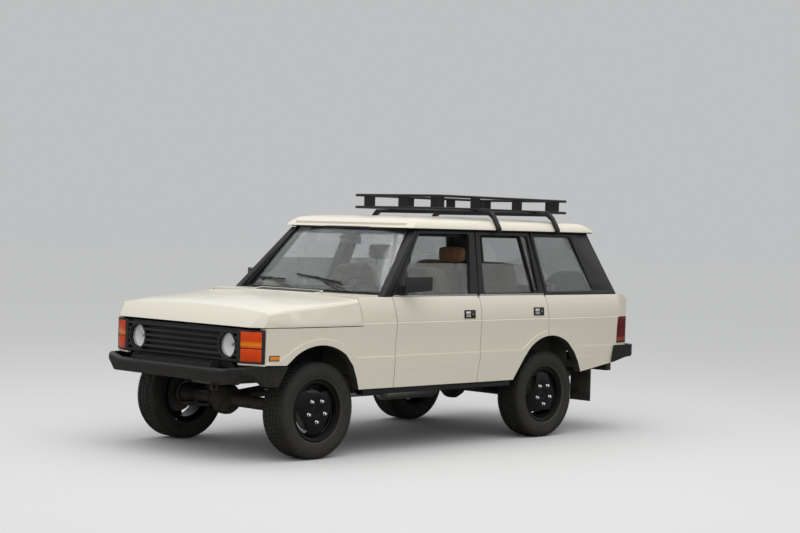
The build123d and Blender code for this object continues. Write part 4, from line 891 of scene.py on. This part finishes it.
# Each handle's layers: shift along the door, length, height, how far it stands out, finish
handleLayers = [(0, 0.128, 0.066, 0.004, "trimBlack"), (0, 0.106, 0.046, 0.005, "grilleBlack"),
                (-0.023, 0.052, 0.044, 0.010, "nutSilver"), (0.028, 0.046, 0.040, 0.007, "trimBlack")]
bezel = skinPlate("front_wing_left", oblong(*sideTrim["marker"]), 0.003)
dress(bezel, "trimBlack")
markerLens = skinPlate("front_wing_left", oblong(*sideTrim["markerLens"]), 0.010, rounding=0.002)
dress(markerLens, "lensMarker")
bothSides(bezel, "markerBezel", shell, "grille_plastic")
bothSides(markerLens, "markerLens", shell, "amber_lens")

for end, y, z in sideTrim["handles"]:
    doorNode = f"door_{end}_left"
    parts = []
    for shift, long, high, proud, finishName in handleLayers:
        part = skinPlate(doorNode, oblong(y + shift, z, long, high), proud, rounding=0.0015)
        dress(part, finishName)
        parts.append(part)
    lock = discAt((skinAt(doorNode, y + 0.030, z) + 0.006, y + 0.030, z), 0.009, 0.006, "X", 24, 0.001)
    dress(lock, "bareSteel")
    bothSides(joined(parts + [lock], f"{end}Handle"), f"{end}Handle", f"door_{end}_{{}}", "dark_trim")
    front, rear = sideTrim["beltEnds"][end]
    low, high = sideTrim["beltLow"], sideTrim["beltHigh"]
    strip = skinPlate(doorNode, [(front, low), (rear, low), (rear, high), (front, high)], 0.003)
    dress(strip, "bareSteel")
    bothSides(strip, f"{end}BeltStrip", f"door_{end}_{{}}", "steel")

for number, z in enumerate(sideTrim["hingeHeights"]):
    hinge = skinPlate("front_wing_left", oblong(sideTrim["hingeY"], z, 0.018, 0.060), 0.003, rounding=0.0015)
    dress(hinge, "bodyCream")
    bothSides(hinge, f"doorHinge{number}", shell, "body_paint")
print("side trim done")

# Windscreen seal, wipers and the vent in the scuttle
screen = {"low": (0.803, -0.822, -0.905, 1.188), "high": (0.648, -0.402, -0.446, 1.702),
          "normal": Vector((0, -0.745, 0.667)), "sealIn": 0.006, "sealLow": 1.197, "sealHigh": 1.694}


def onScreen(x, z, lift=0.0):  # a point on the windscreen, lifted off along its normal
    share = (z - screen["low"][3]) / (screen["high"][3] - screen["low"][3])
    half, sideY, middleY = [a + (b - a) * share for a, b in zip(screen["low"][:3], screen["high"][:3])]
    return Vector((x, middleY + (sideY - middleY) * (x / half) ** 2, z)) + screen["normal"] * lift


lowHalf, highHalf = screen["low"][0] - screen["sealIn"], screen["high"][0] - screen["sealIn"]
sealRun = [onScreen(lowHalf * step / 6, screen["sealLow"], 0.003) for step in range(-6, 7)]
sealRun += [onScreen(highHalf * step / 6, screen["sealHigh"], 0.003) for step in range(6, -7, -1)]
built([tubeAlong(sealRun, 0.011, True, 3, False)], "windscreenSeal", "trimBlack", shell, "rubber_sheet")

# Each wiper as its pivot, then where its blade starts and ends
wipers = [
    ("near", (0.468, -0.893, 1.203), (0.333, 1.262), (-0.183, 1.304)),
    ("far", (-0.130, -0.918, 1.202), (-0.319, 1.262), (-0.660, 1.262)),
]
wiperSize = {"proud": 0.012, "arm": 0.006, "edge": 0.0045, "edgeProud": 0.005}
for name, pivotSpot, bladeStart, bladeEnd in wipers:
    pivot, lift = Vector(pivotSpot), screen["normal"] * wiperSize["proud"]
    start, finish = onScreen(*bladeStart, wiperSize["proud"]), onScreen(*bladeEnd, wiperSize["proud"])
    middle = (start + finish) / 2 + lift
    knee = pivot + (middle - pivot) * 0.3 + lift
    arm = tubeAlong([pivot + Vector((0, 0, 0.010)), knee, middle], wiperSize["arm"], sides=2)
    crest = (start + finish) / 2 + screen["normal"] * 0.003
    spine = tubeAlong([start, crest, finish], wiperSize["arm"], sides=2)
    bladeMiddle = [(a + b) / 2 for a, b in zip(bladeStart, bladeEnd)]
    edge = tubeAlong([onScreen(*spot, wiperSize["edgeProud"])
                      for spot in (bladeStart, bladeMiddle, bladeEnd)],
                     wiperSize["edge"], sides=2)
    clips = [cubeAt(spot - Vector((0.014, 0.006, 0.005)), spot + Vector((0.014, 0.006, 0.007)), 0.002)
             for spot in (start, middle, finish)]
    nut = discAt(pivot + Vector((0, 0, -0.002)), 0.013, 0.026, "Z", 20, 0.003)
    built([arm, spine, edge, nut] + clips, f"wiper_{name}", "trimBlack", shell, "dark_trim")
    cap = discAt(pivot + Vector((0, 0, 0.013)), 0.006, 0.006, "Z", 16, 0.001)
    built([cap], f"wiperNut_{name}", "nutSilver", shell, "steel")

vent = {"half": 0.372, "front": -1.120, "rear": -1.036, "low": 1.186, "rise": 0.016,
        "dividers": (-0.126, 0.126), "bars": 7, "bedCorners": ((0.372, 0.5), (0.350, 0.0), (0.350, 1.0)),
        "ringCorners": ((0.378, 0.5), (0.354, -0.05), (0.354, 1.06))}


def ventPoint(x, share, lift=0.0):  # across the sloping grille, from its front edge to its rear one
    return (x, vent["front"] + (vent["rear"] - vent["front"]) * share,
            vent["low"] + vent["rise"] * share + lift)


def ventOutline(corners, lift):  # six corners, from the middle, front and rear ones of the left half
    (midX, midShare), (frontX, frontShare), (rearX, rearShare) = corners
    return [ventPoint(x, share, lift) for x, share in (
        (-midX, midShare), (-frontX, frontShare), (frontX, frontShare), (midX, midShare), (rearX, rearShare),
        (-rearX, rearShare))]


louvres = []
for number in range(vent["bars"]):
    share = (number + 0.3) / vent["bars"]
    reach = vent["half"] - 0.012 - abs(share - 0.5) * 0.03
    front, rear = ventPoint(-reach, share), ventPoint(-reach, share + 0.085)
    louvres.append(plate([(*front[:2], front[2] - 0.010), (*front[:2], front[2] + 0.002),
                          (*rear[:2], rear[2] + 0.003), (*rear[:2], rear[2] - 0.009)], (2 * reach, 0, 0)))
for x in vent["dividers"]:
    outline = [ventPoint(x - 0.004, share, lift) for share, lift in (
        (0.0, -0.010), (0.0, 0.004), (1.0, 0.004), (1.0, -0.010))]
    louvres.append(plate(outline, (0.008, 0, 0)))
louvres.append(plate(ventOutline(vent["bedCorners"], -0.011), (0, 0, 0.003)))
built(louvres, "scuttleVent", "grilleBlack", shell, "grille_plastic")
surround = tubeAlong(ventOutline(vent["ringCorners"], 0.001), 0.0045, True, 2, False)
built([surround], "ventSurround", "bodyCream", shell, "body_paint")
print("scuttle done")

# Roof basket: two round hoops, flat plates between them and slats across the floor
basket = {"half": 0.500, "front": 0.083, "rear": 1.700, "low": 1.868, "high": 1.968, "tube": 0.011,
          "corner": 0.055, "sidePlates": (0.508, 1.033, 1.520), "endPlates": (-0.300, 0.090), "reach": 0.058,
          "thin": 0.002, "slats": 12, "slatHalf": 0.012, "boltX": 0.482}
# The plate wrapped round the left front corner, seen from above, from the basket's middle and its front end
cornerBend = [(0.402, -0.002), (0.445, -0.002), (0.468, 0.004), (0.486, 0.0155), (0.4965, 0.032),
              (0.502, 0.055), (0.498, 0.055), (0.4925, 0.034), (0.483, 0.0185), (0.466, 0.0075),
              (0.445, 0.002), (0.402, 0.002)]


def hoopRun(z):
    run = []
    corner = basket["corner"]
    inX, frontY, rearY = basket["half"] - corner, basket["front"] + corner, basket["rear"] - corner
    corners = ((inX, rearY, 0), (-inX, rearY, 90), (-inX, frontY, 180), (inX, frontY, 270))
    for x, y, start in corners:
        for step in range(6):
            angle = radians(start + step * 18)
            run.append((x + corner * cos(angle), y + corner * sin(angle), z))
    return run


def basketPlate(x, y, reachX, reachY):
    return cubeAt((x - reachX, y - reachY, basket["low"]), (x + reachX, y + reachY, basket["high"]),
                  0.0008, 1)


basketParts = [tubeAlong(hoopRun(z), basket["tube"], True, 4, False) for z in (basket["low"], basket["high"])]
middleY = (basket["front"] + basket["rear"]) / 2
for sign in (1, -1):  # the second time round, everything is turned by half a turn
    for along in basket["sidePlates"]:
        y = middleY + sign * (along - middleY)
        basketParts.append(basketPlate(sign * basket["half"], y, basket["thin"], basket["reach"]))
    for across in basket["endPlates"]:
        y = middleY + sign * (basket["front"] - middleY)
        basketParts.append(basketPlate(sign * across, y, basket["reach"], basket["thin"]))
    outline = [(sign * x, middleY + sign * (basket["front"] + y - middleY), basket["low"])
               for x, y in cornerBend]
    basketParts.append(plate(outline, (0, 0, basket["high"] - basket["low"])))
for number in range(basket["slats"]):
    y = basket["front"] + (number + 1) * (basket["rear"] - basket["front"]) / (basket["slats"] + 1)
    basketParts.append(cubeAt((-basket["half"], y - basket["slatHalf"], basket["low"] - 0.004),
                              (basket["half"], y + basket["slatHalf"], basket["low"] + 0.004), 0.002))
    for sign in (1, -1):
        basketParts.append(discAt((sign * basket["boltX"], y, basket["low"] + 0.005), 0.006, 0.004, "Z",
                                  6, 0.0008))
built(basketParts, "roofBasket", "trimBlack", bodyOfNode["roof_rack"], "black_paint", "roof_rack")
print("basket done")

# Padded seats: rounded pads with sewn flutes


def pickFaces(piece, test):  # selects the faces that pass and stays in edit mode
    editAll(piece)
    bpy.ops.mesh.select_mode(type="FACE")
    bpy.ops.mesh.select_all(action="DESELECT")
    objectMode()
    for face in piece.data.polygons:
        face.select = test(face.center, face.normal)
    bpy.ops.object.mode_set(mode="EDIT")


def sewnRegion(pad, test, deep, swell):  # a stitched groove round a region, which then swells
    pickFaces(pad, test)
    bpy.ops.mesh.inset(thickness=0.004, depth=-deep)
    bpy.ops.mesh.inset(thickness=0.004, depth=deep * 0.9)
    bpy.ops.mesh.inset(thickness=0.012, depth=swell)
    objectMode()


def makePad(name, low, high, nodeName, tilt=0.0, hinge=(0, 0, 0), flutes=4, facing="Z",
            finishName="seatTan", softness=5, topShare=1.0):
    pad = cubeAt(low, high)
    editAll(pad)
    bpy.ops.mesh.subdivide(number_cuts=9)
    bpy.ops.mesh.vertices_smooth(factor=0.5, repeat=softness)
    objectMode()
    middle = Vector([(a + b) / 2 for a, b in zip(low, high)])
    size = Vector([b - a for a, b in zip(low, high)])
    for share, squeeze in ((0.55, 0.5), (0.75, 0.75), (0.9, 1.0)):  # narrows the top in three easy steps
        if topShare < 1:
            pickVertices(pad, lambda spot: spot.z > low[2] + size.z * share)
            bpy.ops.transform.resize(value=(1 - (1 - topShare) * squeeze * 0.5, 1, 1), center_override=middle)
            objectMode()
    along = 1 if facing == "Z" else 2
    outward = {"Z": lambda normal: normal.z > 0.7, "Y": lambda normal: normal.y < -0.7}[facing]
    for number in range(flutes):
        start, stop = (low[along] + size[along] * (0.1 + 0.8 * share / flutes)
                       for share in (number, number + 1))
        sewnRegion(pad, lambda centre, normal: outward(normal) and abs(centre.x - middle.x) < size.x * 0.3
                   and start + 0.005 < centre[along] < stop - 0.005, 0.006, 0.004)
    useModifier(pad, "SUBSURF", levels=1, render_levels=1)
    if tilt:
        turnedBy(pad, tilt, hinge)
    dress(pad, finishName)
    shade(pad, 80)
    pad.name = name
    place(pad, shell, "seat_cloth", nodeName)


seats = {"xs": (0.415, -0.415), "half": 0.238, "cushion": ((-0.328, 0.150), (0.735, 0.872)),
         "back": ((0.085, 0.215), (0.850, 1.405)), "lean": 16, "hinge": (0.14, 0.86), "headHalf": 0.128,
         "head": ((0.298, 0.376), (1.432, 1.557))}


def makeFrontSeat(x, side):
    west, east = x - seats["half"], x + seats["half"]
    (front, rear), (low, high) = seats["cushion"]
    makePad(f"frontCushion_{side}", (west, front, low), (east, rear, high), "front_seats")
    (front, rear), (low, high) = seats["back"]
    makePad(f"frontBackrest_{side}", (west, front, low), (east, rear, high), "front_seats",
            radians(-seats["lean"]), (x, *seats["hinge"]), 5, "Y", topShare=0.78)
    (front, rear), (low, high) = seats["head"]
    makePad(f"headrest_{side}", (x - seats["headHalf"], front, low), (x + seats["headHalf"], rear, high),
            "front_seats", flutes=1, facing="Y", finishName="headrestBrown" if side == "left" else "seatTan",
            softness=12)
    posts = [discAt((x + shift, 0.335, 1.415), 0.006, 0.06, "Z", 12) for shift in (-0.05, 0.05)]
    base = cubeAt((west + 0.03, -0.305, 0.612), (east - 0.03, 0.20, 0.735), 0.012)
    rails = [cubeAt((x + shift - 0.02, -0.31, 0.6065), (x + shift + 0.02, 0.24, 0.622), 0.003)
             for shift in (-0.16, 0.16)]
    outboard = seats["half"] * (1 if x > 0 else -1) * 0.96
    recliner = discAt((x + outboard, 0.15, 0.82), 0.036, 0.012, "X", 24, 0.004)
    built([base, recliner] + posts + rails, f"seatFrame_{side}", "cabinDark", shell, "dark_trim",
          "front_seats")


for x, side in zip(seats["xs"], ("left", "right")):
    makeFrontSeat(x, side)

rearSeat = {"cushion": ((0.488, 1.020), (0.752, 0.885)), "back": ((0.955, 1.055), (0.900, 1.432)), "lean": 9,
            "hinge": (0, 0.97, 0.90), "halves": ((-0.575, -0.006), (0.006, 0.575))}
for number, (west, east) in enumerate(rearSeat["halves"]):
    (front, rear), (low, high) = rearSeat["cushion"]
    makePad(f"rearCushion{number}", (west, front, low), (east, rear, high), "rear_seat")
    (front, rear), (low, high) = rearSeat["back"]
    makePad(f"rearBackrest{number}", (west, front, low), (east, rear, high), "rear_seat",
            radians(-rearSeat["lean"]), rearSeat["hinge"], 5, "Y", topShare=0.94)
benchParts = [cubeAt((-0.56, 0.492, 0.612), (0.56, 0.598, 0.70), 0.006),
              cubeAt((-0.575, 0.602, 0.747), (0.575, 1.05, 0.756), 0.003),
              cubeAt((-0.575, 0.49, 0.702), (0.575, 0.598, 0.750), 0.006)]
built(benchParts, "benchBase", "carpet", shell, "dark_trim", "rear_seat")
print("seats done")

# Steering wheel: padded rim, four spokes and a boss, made flat and leant back
steering = {"centre": (0.400, -0.560, 1.105), "tilt": 28, "radius": 0.184, "grip": 0.0115, "spoke": 0.009,
            "spokes": (20, 160, 215, 325)}
bossProfile = [(-0.024, 0.0), (-0.024, 0.046), (-0.014, 0.054), (-0.002, 0.052), (0.003, 0.040), (0.003, 0.0)]


def makeSteeringWheel():
    clearSelection()
    bpy.ops.mesh.primitive_torus_add(major_radius=steering["radius"], minor_radius=steering["grip"],
                                     major_segments=72, minor_segments=12)
    rim = bpy.context.object
    settle(rim)
    parts = [rim]
    for angle in steering["spokes"]:
        reach = Vector((cos(radians(angle)), sin(radians(angle)), 0))
        run = [reach * 0.035 - Vector((0, 0, 0.012)), reach * 0.10 - Vector((0, 0, 0.010)), reach * 0.182]
        parts.append(tubeAlong(run, steering["spoke"], sides=3))
    parts.append(turned(bossProfile, (0, 0, 0), 32, True, (0, 0, 1)))
    made = joined(parts, "steeringWheel")
    dress(made, "cabinDark")
    shade(made)
    away = Vector((0, cos(radians(steering["tilt"])), sin(radians(steering["tilt"]))))
    made.rotation_mode = "QUATERNION"
    made.rotation_quaternion = away.to_track_quat("Z", "Y")
    made.location = steering["centre"]
    settle(made)
    made.rotation_mode = "XYZ"
    place(made, bodyOfNode["steering_wheel"], "dark_trim", "steering_wheel")


makeSteeringWheel()

# Dashboard fittings: binnacle with two dials, vents, glovebox lid and the inside mirror
dash = {"dials": (0.345, 0.455), "face": -0.668, "dialZ": 1.128, "hoodFront": -0.700, "hoodDepth": 0.028,
        "vents": (-0.66, -0.10, 0.10, 0.66), "ventHalf": 0.055, "ventLow": 1.050, "slots": 4,
        "slotPitch": 0.012}
dialProfile = [(0.0, 0.0), (0.0, 0.041), (0.004, 0.044), (0.012, 0.044), (0.012, 0.0)]
hoodOutline = [(0.26, 1.085), (0.54, 1.085), (0.54, 1.165), (0.51, 1.185), (0.29, 1.185), (0.26, 1.165)]
dials = [turned(dialProfile, (x, dash["face"], dash["dialZ"]), 32, True, (0, 1, 0)) for x in dash["dials"]]
hood = plate([(x, dash["hoodFront"], z) for x, z in hoodOutline], (0, dash["hoodDepth"], 0))
roundEdges(hood, 0.006, 2)
built([hood] + dials, "dashBinnacle", "cabinDark", shell, "dark_trim")
slots = []
for x in dash["vents"]:
    for number in range(dash["slots"]):
        z = dash["ventLow"] + number * dash["slotPitch"]
        slots.append(cubeAt((x - dash["ventHalf"], -0.662, z), (x + dash["ventHalf"], -0.650, z + 0.004),
                            0.001, 1))
glovebox = cubeAt((-0.60, -0.676, 0.930), (-0.22, -0.660, 1.030), 0.006)
built(slots + [glovebox], "dashVents", "cabinTan", shell, "dark_trim")
mirrorParts = [cubeAt((-0.115, -0.428, 1.565), (0.115, -0.404, 1.627), 0.008),
               tubeAlong([(0, -0.416, 1.62), (0, -0.412, 1.66), (0, -0.400, 1.694)], 0.006, sides=2)]
built(mirrorParts, "insideMirror", "cabinDark", shell, "dark_trim")
print("cabin fittings done")

# Front and rear springs as coils, with seats, dampers and the locating arms
springs = {"x": 0.380, "radius": 0.0375, "wire": 0.0070, "turns": 6.5, "perTurn": 14, "cup": 0.044,
           "damper": 0.020, "axles": ((-1.510, 0.404, 0.575), (1.030, 0.404, 0.585)),
           "peg": (0.4335, 1.240, 0.640)}
# Each arm on the left: its two ends and its radius
armRuns = [((0.380, -1.431, 0.355), (0.380, -0.760, 0.422), 0.026),
           ((0.380, 0.951, 0.355), (0.380, 0.330, 0.422), 0.024),
           ((0.470, 1.102, 0.372), (0.470, 1.240, 0.640), 0.024)]


def springParts(x, y, low, top):  # a coil between two cups, round its damper
    steps = int(springs["turns"] * springs["perTurn"])
    run = []
    for step in range(steps + 1):
        angle = step / springs["perTurn"] * tau
        rise = low + 0.010 + (top - low - 0.020) * step / steps
        run.append((x + springs["radius"] * cos(angle), y + springs["radius"] * sin(angle), rise))
    return [tubeAlong(run, springs["wire"], False, 2, False),
            discAt((x, y, low + 0.004), springs["cup"], 0.006, "Z", 28, 0.001),
            discAt((x, y, top - 0.004), springs["cup"], 0.006, "Z", 28, 0.001),
            discAt((x, y, (low + top) / 2 - 0.03), springs["damper"], top - low - 0.07, "Z", 24, 0.003)]


def armParts(start, finish, radius):  # a rod with a thicker sleeve at either end
    along = finish - start
    return [tubeAlong([start + along * 0.01, finish - along * 0.01], radius * 0.8, False, 4, False),
            tubeAlong([start + along * 0.01, start + along * 0.07], radius * 0.95, False, 4, False),
            tubeAlong([finish - along * 0.07, finish - along * 0.01], radius * 0.95, False, 4, False)]


running = []
for axleY, low, top in springs["axles"]:
    for sign in (1, -1):
        running += springParts(sign * springs["x"], axleY, low, top)
for start, finish, radius in armRuns:
    for sign in (1, -1):
        mirrored = Vector((sign, 1, 1))
        running += armParts(Vector(start) * mirrored, Vector(finish) * mirrored, radius)
for sign in (1, -1):
    running.append(discAt(Vector(springs["peg"]) * Vector((sign, 1, 1)), 0.017, 0.037, "X", 16, 0.002))
built(running, "springsAndArms", "chassisBlack", bodyOfNode["suspension"], "chassis_paint", "suspension")
print("springs done")

# Door mirrors' glass, and the tail's plate, handle, lamp and wiper
mirrorCorners = [(0.902, -0.612, 1.226), (1.040, -0.5365, 1.240), (1.040, -0.5365, 1.326),
                 (0.902, -0.612, 1.320)]
reflecting = plate(mirrorCorners, (0.001, 0.004, 0))
dress(reflecting, "mirrorSilver")
bothSides(reflecting, "mirrorGlass", "door_front_{}", "steel")

blank = cubeAt((-0.26, 2.147, 0.814), (0.26, 2.1535, 0.926), 0.0015)
built([blank], "rearPlateBlank", "plateBlank", "tailgate_lower", "body_paint")
fittings = [cubeAt((-0.10, 2.149, 0.951), (0.10, 2.1575, 0.979), 0.004),
            cubeAt((-0.30, 2.149, 0.938), (0.30, 2.156, 0.948), 0.002),
            cubeAt((-0.32, 2.147, 0.806), (0.32, 2.1525, 0.812), 0.001)]
built(fittings, "tailHandle", "trimBlack", "tailgate_lower", "dark_trim")
rearWiper = [tubeAlong([(0.0, 2.012, 1.190), (0.10, 2.006, 1.212), (0.30, 1.985, 1.245)], 0.005, sides=2),
             tubeAlong([(0.10, 1.997, 1.218), (0.30, 1.984, 1.247), (0.50, 1.972, 1.276)], 0.004, sides=2),
             discAt((0.0, 2.010, 1.188), 0.016, 0.014, "Y", 20, 0.003)]
built(rearWiper, "rearWiper", "trimBlack", "tailgate_upper", "dark_trim")
print("tail done")

# Floor and soft studio light
studio = {"floor": (0.68, 0.675, 0.665, 1), "bounce": (0.33, 0.32, 0.30, 1),
          "backdrop": (0.52, 0.528, 0.535, 1), "sky": (0.97, 0.985, 1.0, 1), "light": (0.52, 0.82, 0.0, 0.7),
          "mirrored": (0.08, 0.8, 0.02, 0.3)}
# Each light panel: where it hangs, its width and its power
panelLights = {"overheadPanel": ((1.5, -1.0, 7.0), 9.0, 300), "frontPanel": ((9.0, -9.0, 6.0), 6.0, 125)}


def addFloor():
    clearSelection()
    bpy.ops.mesh.primitive_circle_add(vertices=96, radius=90, fill_type="NGON")
    ground = bpy.context.object
    ground.name = "studioFloor"
    pale = bpy.data.materials.new("studioFloorPale")
    pale.use_nodes = True
    tree = pale.node_tree
    shader = tree.nodes["Principled BSDF"]
    seen = node(tree, "ShaderNodeLightPath").outputs["Is Camera Ray"]
    feed(tree, shader.inputs["Base Color"], mixed(tree, seen, studio["bounce"], studio["floor"]))
    shader.inputs["Roughness"].default_value = 0.85
    ground.data.materials.append(pale)


def addLights():
    for name, (spot, size, power) in panelLights.items():
        bpy.ops.object.light_add(type="AREA", location=spot)
        lamp = bpy.context.object
        lamp.name = name
        lamp.data.shape = "SQUARE"
        lamp.data.size = size
        lamp.data.energy = power
        aim = Vector((0, 0, 0.8)) - Vector(spot)
        lamp.rotation_euler = aim.to_track_quat("-Z", "Y").to_euler()


def addSky():
    world = bpy.data.worlds.new("softSky")
    bpy.context.scene.world = world
    world.use_nodes = True
    tree = world.node_tree
    tree.nodes.clear()
    spot = node(tree, "ShaderNodeTexCoord").outputs["Generated"]
    height = node(tree, "ShaderNodeSeparateXYZ", {0: spot}).outputs["Z"]

    def skyFor(level, high, foot, top):  # dimmer near the horizon than overhead
        rise = node(tree, "ShaderNodeMapRange", {"Value": height, "From Min": foot, "From Max": top,
                                                 "To Min": level, "To Max": high},
                    interpolation_type="SMOOTHSTEP").outputs[0]
        return node(tree, "ShaderNodeBackground", {"Color": studio["sky"], "Strength": rise}).outputs[0]

    blended = skyFor(*studio["light"])
    mirrored = skyFor(*studio["mirrored"])
    seen = node(tree, "ShaderNodeBackground", {"Color": studio["backdrop"], "Strength": 1.0}).outputs[0]
    rays = node(tree, "ShaderNodeLightPath").outputs
    direct = combine(tree, "MAXIMUM", rays["Is Camera Ray"], rays["Is Transmission Ray"])
    for share, other in ((rays["Is Glossy Ray"], mirrored), (direct, seen)):
        blended = node(tree, "ShaderNodeMixShader", {0: share, 1: blended, 2: other}).outputs[0]
    node(tree, "ShaderNodeOutputWorld", {0: blended})


addFloor()
addLights()
addSky()
bpy.context.scene.view_settings.view_transform = "Standard"
print("studio lit")
